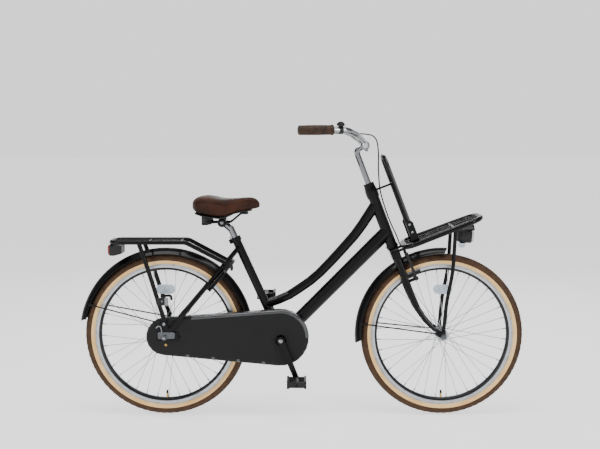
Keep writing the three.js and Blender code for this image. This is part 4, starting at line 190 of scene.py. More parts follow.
def texture(material, kind, scale, stretch=(1, 1, 1), **values):
    """A texture node of the given kind, in the object's own coordinates."""
    nodes, links = material.node_tree.nodes, material.node_tree.links
    place = nodes.new("ShaderNodeTexCoord")
    spread = nodes.new("ShaderNodeMapping")
    spread.inputs["Scale"].default_value = stretch
    pattern = nodes.new(kind)
    for key, value in values.items():
        if hasattr(pattern, key):
            setattr(pattern, key, value)
        else:
            pattern.inputs[key].default_value = value
    pattern.inputs["Scale"].default_value = scale
    links.new(place.outputs["Object"], spread.inputs["Vector"])
    links.new(spread.outputs["Vector"], pattern.inputs["Vector"])
    return pattern


# %% How a finish varies
def vary(material, scale, dark, light, rough, stretch=(1, 1, 1), detail=5.0):
    """Noise moves the colour between dark and light, and the roughness over a range."""
    nodes, links = material.node_tree.nodes, material.node_tree.links
    noise = texture(material, "ShaderNodeTexNoise", scale, stretch, Detail=detail)
    tint = nodes.new("ShaderNodeValToRGB")
    tint.color_ramp.elements[0].position = 0.32
    tint.color_ramp.elements[1].position = 0.68
    tint.color_ramp.elements[0].color = (*srgb(dark), 1)
    tint.color_ramp.elements[1].color = (*srgb(light), 1)
    gloss = nodes.new("ShaderNodeMapRange")
    gloss.inputs["From Min"].default_value = 0.3
    gloss.inputs["From Max"].default_value = 0.7
    gloss.inputs["To Min"].default_value, gloss.inputs["To Max"].default_value = rough
    shader = nodes["Principled BSDF"]
    links.new(noise.outputs["Fac"], tint.inputs["Fac"])
    links.new(noise.outputs["Fac"], gloss.inputs["Value"])
    links.new(tint.outputs["Color"], shader.inputs["Base Color"])
    links.new(gloss.outputs["Result"], shader.inputs["Roughness"])
    return material


def grain(material, kind, scale, depth, stretch=(1, 1, 1), output=0, strength=1.0, **values):
    """A bump of the given depth in millimetres, laid over the bumps that are there."""
    nodes, links = material.node_tree.nodes, material.node_tree.links
    pattern = texture(material, kind, scale, stretch, **values)
    bump = nodes.new("ShaderNodeBump")
    bump.inputs["Distance"].default_value = depth * MM
    bump.inputs["Strength"].default_value = strength
    shader = nodes["Principled BSDF"]
    if shader.inputs["Normal"].is_linked:
        links.new(shader.inputs["Normal"].links[0].from_socket, bump.inputs["Normal"])
    links.new(pattern.outputs[output], bump.inputs["Height"])
    links.new(bump.outputs["Normal"], shader.inputs["Normal"])
    return material


# %% [markdown]
# The frame, fork, mudguards and carriers are black enamel: a dark base under a clear, slightly wavy
# coat. The wave is a very shallow bump a few millimetres wide, as sprayed enamel has.

# %% Enamel
black_paint = finish(
    "black_enamel", "030304", 0.0, 0.3,
    Specular_IOR_Level=0.1, Coat_Weight=0.12, Coat_Roughness=0.05,
)  # fmt: skip
vary(black_paint, 9, "020203", "060607", (0.24, 0.36))
grain(black_paint, "ShaderNodeTexNoise", 260, 0.05, Detail=2.0)

# %% [markdown]
# The plastics are moulded: the brake, the lamp and the lock have a fine spark-eroded grain, and the
# chain case is a duller, greyer plastic with a coarser leather-like grain.

# %% Plastics and rubber
black_plastic = finish("moulded_black_plastic", "0a0a0b", 0.0, 0.5, Specular_IOR_Level=0.3)
vary(black_plastic, 30, "070708", "101012", (0.42, 0.58))
grain(black_plastic, "ShaderNodeTexNoise", 1500, 0.08, Detail=3.0)
case_plastic = finish("chain_case_plastic", "0d0d0e", 0.0, 0.5, Specular_IOR_Level=0.2)
vary(case_plastic, 14, "0a0a0b", "101011", (0.46, 0.6))
grain(case_plastic, "ShaderNodeTexVoronoi", 900, 0.07)
# The chain case's edge strip and clips are a lighter, glossier grey. On the top edge strip that lighter grey is a
# painted highlight where the case's rounded edge catches the light.
case_edge_highlight_and_clip_plastic = finish(
    "chain_case_edge_painted_highlight_and_clip_plastic", "232426", 0.0, 0.35,
    Specular_IOR_Level=0.5, Coat_Weight=0.4, Coat_Roughness=0.2,
)  # fmt: skip
vary(case_edge_highlight_and_clip_plastic, 20, "222325", "313235", (0.28, 0.4))
grain(case_edge_highlight_and_clip_plastic, "ShaderNodeTexNoise", 1200, 0.05, Detail=3.0)
black_rubber = finish("black_rubber", "0b0b0b", 0.0, 0.75, Specular_IOR_Level=0.3)
vary(black_rubber, 40, "080808", "111111", (0.65, 0.85))
grain(black_rubber, "ShaderNodeTexNoise", 1800, 0.06, Detail=3.0)

# %% [markdown]
# The tyres are two rubbers: a brown tread, dusty and dull, over a cream wall. Fine rings in the wall
# are the moulding's turned lines. Rings about the Y axis follow the wheel's own axis.

# %% Tyre rubbers
tread_rubber = finish("brown_tread_rubber", "3f2e20", 0.0, 0.85, Specular_IOR_Level=0.2)
vary(tread_rubber, 45, "36261b", "483526", (0.78, 0.92), detail=8.0)
grain(tread_rubber, "ShaderNodeTexNoise", 900, 0.15, Detail=5.0)
wall_rubber = finish("cream_wall_rubber", "dcb377", 0.0, 0.7, Specular_IOR_Level=0.3)
vary(wall_rubber, 24, "d2a76a", "e4bf86", (0.62, 0.76), detail=7.0)
grain(
    wall_rubber, "ShaderNodeTexWave", 260, 0.12, strength=0.5,
    wave_type="RINGS", rings_direction="Y", Distortion=0.2,
)  # fmt: skip

# %% [markdown]
# A woven reflective strip runs round the wall beside the rim. It is grey by day, with a fine weave.

# %% Reflective strip
strip_grey = finish("reflective_strip", "9a9fa5", 0.6, 0.35, Specular_IOR_Level=0.5)
vary(strip_grey, 60, "858a90", "aab0b5", (0.28, 0.44))
grain(strip_grey, "ShaderNodeTexVoronoi", 1400, 0.05)

# %% [markdown]
# Metals: chrome on the bar, stem and seat post, brushed steel on hubs and spokes, zinc plate with a
# faint spangle, and aluminium rims whose brake faces carry fine turned rings.

# %% Metals
chrome = finish("chrome_plate", "7f8184", 1.0, 0.08)
vary(chrome, 60, "797b7e", "85878a", (0.05, 0.1))
grain(chrome, "ShaderNodeTexNoise", 400, 0.01, Detail=2.0)
steel = finish("brushed_steel", "9a9da1", 1.0, 0.33)
vary(steel, 180, "8a8d91", "a9acb0", (0.26, 0.42), stretch=(1, 6, 1))
grain(steel, "ShaderNodeTexNoise", 900, 0.03, stretch=(1, 8, 1), Detail=3.0)
zinc = finish("zinc_plate", "7b7e81", 1.0, 0.42)
vary(zinc, 120, "6a6d70", "8e9194", (0.34, 0.5))
grain(zinc, "ShaderNodeTexVoronoi", 350, 0.03)
dark_steel = finish("dark_steel", "55585b", 1.0, 0.38)
vary(dark_steel, 150, "484b4e", "63666a", (0.32, 0.46))
rim_silver = finish("turned_aluminium", "aeb1b4", 1.0, 0.3)
vary(rim_silver, 30, "a0a3a6", "b9bcbf", (0.24, 0.38))
grain(
    rim_silver, "ShaderNodeTexWave", 900, 0.03, strength=0.6,
    wave_type="RINGS", rings_direction="Y", Distortion=0.0,
)  # fmt: skip
rim_black = finish("black_anodised", "1a1b1d", 0.6, 0.35)
vary(rim_black, 40, "151618", "212225", (0.3, 0.42))
brass = finish("brass", "b08d4a", 1.0, 0.35)
vary(brass, 90, "9c7b3c", "c19d58", (0.28, 0.42))

# %% [markdown]
# The saddle and grips are brown leather. A cell pattern gives the pores, a slow noise gives the
# darker worn places, and the gloss follows the same noise, since rubbed leather shines.

# %% Leather
brown_leather = finish("brown_leather", "24150d", 0.0, 0.55, Specular_IOR_Level=0.12)
vary(brown_leather, 11, "0e0805", "3c2013", (0.46, 0.62), detail=4.0)
grain(brown_leather, "ShaderNodeTexVoronoi", 620, 0.22, strength=0.8)
grain(brown_leather, "ShaderNodeTexNoise", 260, 0.25, Detail=6.0)
grip_leather = finish("grip_leather", "281b12", 0.0, 0.6, Specular_IOR_Level=0.2)
vary(grip_leather, 60, "160e08", "3a281a", (0.52, 0.7), detail=7.0)
grain(grip_leather, "ShaderNodeTexVoronoi", 380, 0.35, strength=0.9)
thread = finish("waxed_thread", "241309", 0.0, 0.6)
vary(thread, 200, "1d1008", "2e1b10", (0.5, 0.7))
grain(thread, "ShaderNodeTexWave", 900, 0.1, bands_direction="X")

# %% [markdown]
# Lenses: clear plastic on the headlight, deep red on the tail light, and grey-blue spoke reflectors
# whose face is a field of small prisms, seen as cells that catch the light one by one.

# %% Lenses
clear_lens = finish("clear_lens", "f2f5f7", 0.0, 0.04, Transmission_Weight=0.95, IOR=1.49)
grain(clear_lens, "ShaderNodeTexWave", 110, 0.3, strength=0.5, bands_direction="Y", Distortion=0.0)
red_lens = finish("red_lens", "7c0e0e", 0.0, 0.15, Coat_Weight=0.5, Coat_Roughness=0.05)
vary(red_lens, 60, "6a0a0a", "8d1515", (0.12, 0.2))
grain(red_lens, "ShaderNodeTexVoronoi", 420, 0.4, stretch=(0.2, 1, 1), strength=0.7)
grey_lens = finish("grey_prism_lens", "aab6c2", 0.35, 0.22, Coat_Weight=0.6, Coat_Roughness=0.05)
vary(grey_lens, 300, "95a3b2", "c3ced8", (0.14, 0.3), stretch=(1, 0.2, 1))
grain(grey_lens, "ShaderNodeTexVoronoi", 420, 0.5, stretch=(1, 0.2, 1), strength=0.9)

# %% [markdown]
# ## The solids that stay
# Every solid gets the finish of its slot, but for four that have one of their own. Smooth shading
# with sharp edges kept makes a tube of a few flats read as round, and the weighted normals keep flat
# faces flat beside it.

# %% Finishes on the solids
FINISHES = {
    "black_paint": black_paint, "black_plastic": black_plastic, "case_plastic": case_plastic,
    "black_rubber": black_rubber, "tyre_rubber": tread_rubber, "chrome": chrome, "steel": steel,
    "zinc": zinc, "rim_alloy": rim_silver, "brown_leather": brown_leather,
    "clear_lens": clear_lens, "red_lens": red_lens, "grey_lens": grey_lens,
}  # fmt: skip
OWN_FINISHES = {
    "front_axle": dark_steel, "rear_axle": dark_steel,
    "saddle_rails": black_paint, "headset_cover": black_paint,
}  # fmt: skip


def smooth(mesh, angle):
    mesh.polygons.foreach_set("use_smooth", [True] * len(mesh.polygons))
    mesh.set_sharp_from_angle(angle=math.radians(angle))


for entry in frame["record"]["subparts"]:
    solid = frame["nodes"][entry["node"]]
    solid.data.materials.clear()
    solid.data.materials.append(OWN_FINISHES.get(entry["node"], FINISHES[entry["material_slot"]]))
    smooth(solid.data, 47)
    even = solid.modifiers.new("even_normals", "WEIGHTED_NORMAL")
    even.keep_sharp = True

# %% [markdown]
# ## Tools for the finer pieces
# Each finer piece is worked out in millimetres, as rings of points that a skin joins, and then made
# into one mesh. A spin turns a profile about any line, and a sweep carries a round section along one.


# %% Skins from rings
def skin(rings, ring_closed=False):
    """Points and faces of a skin over rings with equal numbers of points."""
    count, n = len(rings), len(rings[0])
    points = [p for ring in rings for p in ring]
    faces = []
    for i in range(count if ring_closed else count - 1):
        here, there = i * n, ((i + 1) % count) * n
        faces += [(here + j, here + (j + 1) % n, there + (j + 1) % n, there + j) for j in range(n)]
    if not ring_closed:
        faces += [tuple(range(n)), tuple((count - 1) * n + j for j in range(n))]
    return points, faces


def about_y(profile, segments=128):
    """A ring-shaped body about the Y axis, from a closed profile of (radius, y)."""
    turns = [TURN * i / segments for i in range(segments)]
    return skin([[(r * math.cos(a), y, r * math.sin(a)) for r, y in profile] for a in turns], True)


def across(direction):
    """Two directions square to the given one and to each other."""
    helper = Vector((0, 0, 1)) if abs(direction.z) < 0.9 else Vector((1, 0, 0))
    one = direction.cross(helper).normalized()
    return one, direction.cross(one).normalized()


def spin(start, end, profile, sides=16):
    """A turned body on the line from start to end, from a profile of (distance, radius)."""
    start, line = Vector(start), (Vector(end) - Vector(start)).normalized()
    one, two = across(line)
    rings = []
    for along, radius in profile:
        centre = start + line * along
        turns = [TURN * i / sides for i in range(sides)]
        rings.append([centre + (one * math.cos(a) + two * math.sin(a)) * radius for a in turns])
    return skin(rings)


# %% Sweeps along a line
def rounded(points, bend, steps=8):
    """A line of straight runs with each corner rounded by a smooth curve."""
    points = [Vector(p) for p in points]
    line = [points[0]]
    for before, here, after in zip(points, points[1:], points[2:]):
        back, on = before - here, after - here
        reach = min(bend / math.tan(back.angle(on) / 2), min(back.length, on.length) / 2.05)
        start, end = here + back.normalized() * reach, here + on.normalized() * reach
        shares = [i / steps for i in range(steps + 1)]
        line += [start * (1 - t) ** 2 + here * (2 * t * (1 - t)) + end * t**2 for t in shares]
    return [*line, points[-1]]


def sweep(line, radius, sides=20):
    """A round bar along a line, its section carried on without a twist."""
    line = [Vector(p) for p in line]
    way = (line[1] - line[0]).normalized()
    one = across(way)[0]
    rings = []
    for i, here in enumerate(line):
        ahead = line[min(i + 1, len(line) - 1)] - line[max(i - 1, 0)]
        way = ahead.normalized()
        one = (one - way * one.dot(way)).normalized()
        two = way.cross(one)
        turns = [TURN * k / sides for k in range(sides)]
        rings.append([here + (one * math.cos(a) + two * math.sin(a)) * radius for a in turns])
    return skin(rings)


def flat_ended(line, sizes, sides=20):
    """A bar along a line in the long plane, from its (depth, width) at each point."""
    rings = []
    for i, here in enumerate(line):
        way = (line[min(i + 1, len(line) - 1)] - line[max(i - 1, 0)]).normalized()
        side = Vector((0, 1, 0))
        out = side.cross(way).normalized()
        depth, width = sizes[i]
        ring = []
        for k in range(sides):
            c, d = math.cos(TURN * k / sides), math.sin(TURN * k / sides)
            ring.append(here + out * (c * depth / 2) + side * (d * width / 2))
        rings.append(ring)
    return skin(rings)


# %% Shapes into pieces
def gather(shapes):
    """Several shapes as one."""
    points, faces = [], []
    for more_points, more_faces in shapes:
        faces += [tuple(v + len(points) for v in face) for face in more_faces]
        points += list(more_points)
    return points, faces


def piece(name, shape, body, materials, at=(0, 0, 0), marks=None, sharp=38):
    """A mesh object from a shape in millimetres, placed at a point and riding on a body."""
    mesh = bpy.data.meshes.new(name)
    mesh.from_pydata([tuple(Vector(p) * MM) for p in shape[0]], [], shape[1])
    for material in materials:
        mesh.materials.append(material)
    if marks:
        for i, polygon in enumerate(mesh.polygons):
            polygon.material_index = marks(i)
    form = bmesh.new()
    form.from_mesh(mesh)
    bmesh.ops.recalc_face_normals(form, faces=form.faces)
    form.to_mesh(mesh)
    form.free()
    smooth(mesh, sharp)
    made = bpy.data.objects.new(name, mesh)
    bpy.context.scene.collection.objects.link(made)
    made.location = Vector(at) * MM
    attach(made, body)
    print(name, len(mesh.polygons), "faces")
    return made


# %% [markdown]
# ## Wheels
# Both wheels have the same tyre and rim, so one loop makes them. The tyre is a turned ring whose
# tread zone has its grooves pressed in ring by ring, staggered from rib to rib, as a moulded
# touring tread has. The tread and the wall are one skin with two rubbers.

# %% Wheel sizes
WHEELS = {
    "front": {"x": 519.0, "body": "front_wheel", "flange": 31, "thick": 3, "hole": 18.5, "lace": 0},
    "rear": {"x": -504.0, "body": "rear_wheel", "flange": 27, "thick": 3.4, "hole": 29, "lace": -3.8},
}
AXLE_Z = 300.5
TYRE = {"radius": 300.5, "height": 41.9, "half": 23.5, "bead": 13.5}
RIM = {"outer": 258.6, "inner": 240.3, "half": 14.5, "track": 250.1}

# %% Tyres
tyre_turns = [0, 8, 14, 20, 28, 34, 42, 48, 56, 64, 74, 84, 94, 98, 100, 110, 122, 134, 141, 143]
tyre_angles = [-a for a in tyre_turns[:0:-1]] + tyre_turns
FURROWS, FURROW_DEPTH = (8, 28, 48), 1.2
GROOVED, GROOVE_DEPTH = {14: 0, 20: 0, 34: 1, 42: 1, 56: 2, 64: 2}, 1.8


def tyre_point(angle, segment):
    """Distance from the axle and across it, with the tread's grooves."""
    a = math.radians(angle)
    middle = TYRE["radius"] - TYRE["height"] / 2
    depth = 0.0
    if abs(angle) in FURROWS:
        depth = FURROW_DEPTH
    elif abs(angle) in GROOVED and (segment + GROOVED[abs(angle)] + (angle > 0) * 2) % 4 == 0:
        depth = GROOVE_DEPTH
    swell = 0.35 if abs(angle) == 110 else 0.0
    size = TYRE["height"] / 2 - depth + swell
    across_share = TYRE["half"] / (TYRE["height"] / 2)
    return middle + size * math.cos(a), size * across_share * math.sin(a)


def tyre_shape(segments=300):
    bead = [(RIM["outer"] + 0.3, TYRE["bead"]), (RIM["outer"] + 0.3, -TYRE["bead"])]
    rings = []
    for i in range(segments):
        turn = TURN * i / segments - TURN / 4
        section = [tyre_point(a, i) for a in tyre_angles] + bead
        rings.append([(r * math.cos(turn), y, r * math.sin(turn)) for r, y in section])
    return skin(rings, True)


tyre_count = len(tyre_angles) + 2


def tyre_rubber_at(face):
    """Which of the three rubbers a face has: tread, wall or reflective strip."""
    j = face % tyre_count
    if j + 1 >= len(tyre_angles):
        return 2
    nearer = min(abs(tyre_angles[j]), abs(tyre_angles[j + 1]))
    return 2 if nearer >= 141 else int(nearer >= 98)


for end, w in WHEELS.items():
    tyre = piece(
        end + "_tyre_with_tread", tyre_shape(), w["body"],
        [tread_rubber, wall_rubber, strip_grey], at=(w["x"], 0, AXLE_Z), marks=tyre_rubber_at,
    )  # fmt: skip
    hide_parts(end + "_tyre")

# %% [markdown]
# The rim is a double-wall extrusion: bright turned faces where the brake shoes run, black below.
# Each spoke ends in a steel nipple, and the valve stands in the rim at the bottom.

# %% Rims
rim_side = [
    (RIM["outer"], 13.2), (RIM["outer"], RIM["half"]), (257.6, RIM["half"]),
    (RIM["track"], RIM["half"] - 0.1), (249.4, 13.9), (246.5, 12.7), (243.2, 9.8),
    (241.0, 7.2), (RIM["inner"], 4.0),
]  # fmt: skip
rim_profile = rim_side + [(r, -y) for r, y in reversed(rim_side)]
bright = {0, 1, 2, len(rim_profile) - 2, len(rim_profile) - 3, len(rim_profile) - 4}
for end, w in WHEELS.items():
    rim = piece(
        end + "_rim_two_tone", about_y(rim_profile, 180), w["body"], [rim_black, rim_silver],
        at=(w["x"], 0, AXLE_Z), marks=lambda i: int(i % len(rim_profile) in bright),
    )  # fmt: skip
    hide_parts(end + "_rim")

# %% [markdown]
# Thirty-six spokes are laced three times crossed. Each leaves the flange on the far side of its
# neighbour, with its bent head outside, and runs to the rim. The rule that places them is the one
# the wheel builder follows: leading and trailing spokes turn about the hub in opposite ways.

# %% Spokes
SPOKES, CROSSING = 36, math.radians(60)


def spoke_ends(w, k):
    """Where a spoke leaves the hub and where it meets the rim, about the axle."""
    rim_angle = math.radians(w["lace"]) + (k + 0.5) * TURN / SPOKES
    side = 1 if k % 2 else -1
    leading = 1 if (k // 2) % 2 else -1
    hub_angle = rim_angle + leading * CROSSING
    y = side * (w["flange"] + leading * w["thick"] / 2)
    reach = RIM["inner"] - 0.6
    start = Vector((w["hole"] * math.cos(hub_angle), y, w["hole"] * math.sin(hub_angle)))
    end = Vector((reach * math.cos(rim_angle), side * 1.1, reach * math.sin(rim_angle)))
    return start, end, side * leading


def spoke_shapes(w):
    wires, nipples = [], []
    for k in range(SPOKES):
        start, end, outward = spoke_ends(w, k)
        run = (end - start).length
        wires.append(spin(start, end, [(-1.6, 0.5), (-1.2, 1.3), (0, 1.15), (run - 10, 1.0)], 8))
        head = start + Vector((0, -outward * (w["thick"] + 1.0), 0))
        thick = w["thick"]
        elbow = [(0, 1.1), (thick, 1.1), (thick + 0.2, 2.1), (thick + 1.2, 1.2)]
        wires.append(spin(start, head, elbow, 10))
        nipples.append(spin(start, end, [(run - 13, 1.5), (run - 12.5, 2.0), (run - 2, 2.0), (run, 2.4)], 8))
    return gather(wires), gather(nipples)


# %% Hubs
FRONT_SHELL = [
    (5.3, -40), (9.2, -40), (10, -39), (10, -33.5), (14, -32.5), (21.2, -32.5), (22, -31.9), (22, -30.1),
    (21.2, -29.5), (16.5, -29.2), (13.5, -26), (12.4, -14), (12.2, 0),
]  # fmt: skip
REAR_SHELL = [
    (5.3, -33), (19, -33), (20, -32), (20, -29), (32.2, -28.7), (33, -28), (33, -26), (32.2, -25.3),
    (26.5, -25), (24.2, -22), (23.4, -10), (23.2, 0),
]  # fmt: skip
REAR_LEFT = [
    (24.2, 22), (26.5, 25), (32.2, 25.3), (33, 26), (33, 28), (32.2, 28.7), (24, 29), (24, 40.6),
    (22.6, 42), (5.3, 42),
]  # fmt: skip
shells = {
    "front": FRONT_SHELL + [(r, -y) for r, y in reversed(FRONT_SHELL[:-1])],
    "rear": REAR_SHELL + REAR_LEFT,
}
for end, w in WHEELS.items():
    place = (w["x"], 0, AXLE_Z)
    wires, nipples = spoke_shapes(w)
    hub = piece(end + "_hub_shell", about_y(shells[end], 64), w["body"], [steel], at=place)
    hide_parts(end + "_hub")
    piece(end + "_spokes", wires, w["body"], [steel], at=place)
    piece(end + "_spoke_nipples", nipples, w["body"], [steel], at=place)

# %% [markdown]
# Each tube has a valve: a brass-threaded stem through the rim with a dark dust cap. It stands at the
# bottom of both wheels, as the bike was set for the picture.

# %% Valves
for end, w in WHEELS.items():
    place, foot = (w["x"], 0, AXLE_Z), Vector((0, 0, -(RIM["inner"] + 2)))
    stem_top = foot + Vector((0, 0, 30))
    stem_shape = spin(foot, stem_top, [(0, 4.2), (2, 4.2), (2.6, 3.6), (18, 3.6)], 20)
    cap_profile = [(17, 4.0), (18, 4.4), (26, 4.1), (29, 3.2), (30, 1.2)]
    piece(end + "_valve_stem", stem_shape, w["body"], [brass], at=place)
    cap_shape = spin(foot, stem_top, cap_profile, 20)
    piece(end + "_valve_cap", cap_shape, w["body"], [black_plastic], at=place)

# %% [markdown]
# ## Mudguards
# A mudguard is a strip of steel rolled to a shallow arch with its lips turned in, held by two wires.
# The strip is a section carried round the axle in small steps. The wires are bent to the lip and end
# in flat eyes under the bolts beside the wheel.

# %% Mudguard shape
GUARD = {"radius": 323.0, "half": 30.0, "depth": 21.0}


def guard_strip(start, end, steps, tip=2.4):
    """The arched strip; at both ends its lips stop a little before its crown does."""
    shares = [i / 8 - 1 for i in range(17)]
    top = [(GUARD["radius"] - GUARD["depth"] * s * s, s * GUARD["half"]) for s in shares]
    low = [(r - 1.4, y * 0.985) for r, y in top]
    lip = [(top[-1][0] - 2.0, 29.0), (top[-1][0] - 2.6, 27.6), (top[-1][0] - 0.9, 27.4)]
    section = top + lip + low[-2:0:-1] + [(r, -y) for r, y in reversed(lip)]
    rings = []
    for i in range(steps + 1):
        ring = []
        for r, y in section:
            short = tip * min(1, abs(y) / GUARD["half"]) ** 2
            a = math.radians(start + short + (end - start - 2 * short) * i / steps)
            ring.append((r * math.cos(a), y, r * math.sin(a)))
        rings.append(ring)
    return skin(rings)


def guard_wires(angle, eye, inner, outer):
    """Two wires from the lip to the eyes, each with its flat end and a small clip on the lip."""
    shapes = []
    lip = GUARD["radius"] - GUARD["depth"] * 0.86 - 1.0
    a = math.radians(angle)
    for side in (-1, 1):
        end = Vector((lip * math.cos(a), side * 27.8, lip * math.sin(a)))
        start = Vector((eye[0], side * (inner + outer) / 2, eye[1]))
        way = (end - start).normalized()
        bend = [start + way * 6, end - way * 20, end, end + Vector((0, -side * 9, 0))]
        shapes.append(sweep(rounded(bend, 6, 5), 2.6, 12))
        near, far = (eye[0], side * inner, eye[1]), (eye[0], side * outer, eye[1])
        shapes.append(spin(near, far, [(0, 6.4), (0.4, 7), (2.6, 7), (3, 6.4)], 28))
        clip = end - way * 4
        shapes.append(spin(clip - way * 6, clip + way * 6, [(0, 3.0), (1, 3.8), (11, 3.8), (12, 3.0)], 14))
    return gather(shapes)


# %% Both mudguards
LEAN, EYE = math.radians(21), 17
front_eye = (-EYE * math.cos(LEAN) - EYE * math.sin(LEAN), -EYE * math.sin(LEAN) + EYE * math.cos(LEAN))
rear_place = (WHEELS["rear"]["x"], 0, AXLE_Z)
front_place = (WHEELS["front"]["x"], 0, AXLE_Z)
rear_guard = piece(
    "rear_mudguard_strip", guard_strip(7, 171, 120), "frame", [black_paint],
    at=rear_place,
)  # fmt: skip
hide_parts("rear_mudguard")
front_guard = piece(
    "front_mudguard_strip", guard_strip(87, 186, 84), "steering", [black_paint],
    at=front_place,
)  # fmt: skip
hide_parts("front_mudguard")

# %% Mudguard wires
piece(
    "rear_mudguard_wires", guard_wires(158, (0, 51), 79.6, 82.6), "frame",
    [black_paint], at=rear_place,
)  # fmt: skip
piece(
    "front_mudguard_wires", guard_wires(172, front_eye, 56.3, 59.3), "steering",
    [black_paint], at=front_place,
)  # fmt: skip

# %% [markdown]
# ## Handlebar, grips and cable
# The bar is one chromed tube, swept up and back. It is drawn with the same corners as its solid and
# rounder bends, because chrome shows every flat.

# %% Handlebar
BAR_CENTRE = Vector((229.98, 0, 1000.41))
bar_half = [
    (0, 0, 0), (0, 30, 0), (-14.5, 110.1, 17.9), (-40, 190.1, 39.8), (-72.3, 238, 54.9),
    (-124.1, 258.1, 56), (-241, 292, 54.9),
]  # fmt: skip
bar_line = [BAR_CENTRE + Vector((x, -y, z)) for x, y, z in reversed(bar_half[1:])]
bar_line += [BAR_CENTRE + Vector(p) for p in bar_half[1:]]
handlebar = piece(
    "handlebar_tube", sweep(rounded(bar_line, 46), 11.1, 28), "steering", [chrome],
)  # fmt: skip
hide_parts("handlebar")

# %% [markdown]
# The grips are brown leather sleeves: a flange at the inner end, a body that swells a little for the
# palm, shallow rings where the leather is drawn tight, and a row of stitches along the underside.

# %% Grips
GRIP_LENGTH = 124
swell = [(0, 17.0), (0.8, 18.2), (5.6, 18.4), (7, 17.9), (7.6, 17.1)]
for i in range(1, 27):
    along = 7.6 + i * 4.1
    ripple = 0.35 * math.cos(i * math.pi)
    swell.append((along, 16.5 + 0.8 * math.sin(math.pi * min(1, i / 26)) + ripple * 0.5))
swell += [(119.5, 16.4), (122.6, 14.8), (124, 11.6)]
for name, side in (("right_grip", -1), ("left_grip", 1)):
    inner = BAR_CENTRE + Vector((-124.1, side * 258.1, 56))
    end = BAR_CENTRE + Vector((-241, side * 292, 54.9))
    way = (end - inner).normalized()
    start = end + way * (2.5 + 0.3 - GRIP_LENGTH)
    cover = piece(name + "_leather", spin(start, end, swell, 40), "steering", [grip_leather])
    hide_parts(name)
    low = (Vector((0, 0, -1)) - way * way.dot(Vector((0, 0, -1)))).normalized()
    stitches = []
    for i in range(24):
        here = start + way * (12 + i * 4.5) + low * 16.1
        stitches.append(spin(here - way * 1.4, here + way * 1.4, [(0, 0.3), (0.5, 0.7), (2.3, 0.7), (2.8, 0.3)], 8))
    piece(name + "_stitches", gather(stitches), "steering", [thread])

# %% [markdown]
# The brake cable is a free length of outer cable between the lever and the brake. Its route is the
# solid's own centre line, point by point, so it clears the lamp, the carrier and the brake arms.

# %% Brake cable
CABLE = [
    (159, 255.5, 1051.4), (176, 250.2, 1051.4), (190.6, 240.5, 1050), (202.2, 227.3, 1047.2),
    (212.5, 213.1, 1044.5), (222.3, 198.4, 1042.8), (231.4, 183.1, 1042), (239.8, 167.4, 1041.5),
    (247.4, 151.4, 1040.5), (254.1, 135, 1039.3), (260.1, 118.4, 1037.9), (265.3, 101.5, 1035.5),
    (269.8, 84.8, 1031.5), (273.3, 68.2, 1026.5), (276.1, 52, 1019.8), (278.4, 37.2, 1010.2),
    (279.8, 24.7, 997.7), (280.6, 14.4, 983.3), (281.1, 6.8, 967.3), (281, 2.8, 950),
    (280.7, 1.2, 932.3), (280.7, 0.4, 914.5), (281.4, -0.4, 896.8), (282.5, -0.6, 879.1),
    (283.9, -0.4, 861.4), (286.1, 0, 843.7), (289.4, 0, 826.3), (293.9, 0, 809.1),
    (299.1, 0, 792.1), (304.6, 0, 775.2), (310.3, 0, 758.4), (316.3, 0, 741.7), (322.7, 0, 725.1),
    (329.7, 0, 708.8), (337.4, 0, 692.7), (345.1, 0, 676.7), (352.1, 0.5, 660.4), (358.3, -0.6, 644),
    (364.2, -11.5, 631.6), (370.7, -27.2, 626.4), (378.9, -36.2, 617.3), (381, -20.3, 612.6),
    (380.9, -2.5, 612.7), (380.9, 15.2, 612.8), (380.9, 33, 612.8),
]  # fmt: skip
cable = piece("brake_outer_cable", sweep(CABLE, 2.5, 14), "steering", [black_rubber])
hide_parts("brake_cable")

# %% [markdown]
# ## Saddle
# The cover is leather over foam: crowned at the back, waisted ahead of the thighs, drawn in at the
# skirt. Its form is the solid's stations with more points between them, smoothed by a subdivision
# surface. A raised seam runs round it where the top panel meets the sides.

# %% Saddle cover
STATIONS = [
    (0, 0.4, 0.7, 0.42), (0.05, 0.74, 0.88, 0.22), (0.15, 0.95, 0.975, 0.13), (0.27, 1, 1, 0.06),
    (0.4, 0.9, 0.905, 0.01), (0.5, 0.68, 0.85, 0.035), (0.62, 0.43, 0.845, 0.2),
    (0.75, 0.29, 0.88, 0.285), (0.88, 0.235, 0.905, 0.335), (0.96, 0.2, 0.81, 0.39),
    (1, 0.1, 0.61, 0.44),
]  # fmt: skip
SECTION = [(0.84, 0), (0.97, 0.22), (1, 0.48), (0.92, 0.74), (0.7, 0.91), (0.38, 0.985), (0, 1)]
SADDLE = {"length": 248, "width": 196, "height": 81, "back": -403, "skirt": 738}


def saddle_point(station, share, side):
    along, half, top, bottom = station
    y = side * share[0] * half * SADDLE["width"] / 2
    z = bottom + share[1] * (top - bottom)
    return (SADDLE["back"] + along * SADDLE["length"], y, SADDLE["skirt"] + z * SADDLE["height"])


saddle_rings = []
for station in STATIONS:
    ring = [saddle_point(station, s, -1) for s in SECTION]
    ring += [saddle_point(station, s, 1) for s in reversed(SECTION[:-1])]
    saddle_rings.append(ring)
saddle = piece("saddle_leather", skin(saddle_rings), "seat", [brown_leather], sharp=70)
rounding = saddle.modifiers.new("rounding", "SUBSURF")
rounding.levels = rounding.render_levels = 3
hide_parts("saddle_cover")

# %% Saddle seam
seam_share = (0.9, 0.76)
seam_sides = [[Vector(saddle_point(s, seam_share, side)) for s in STATIONS[1:-1]] for side in (-1, 1)]


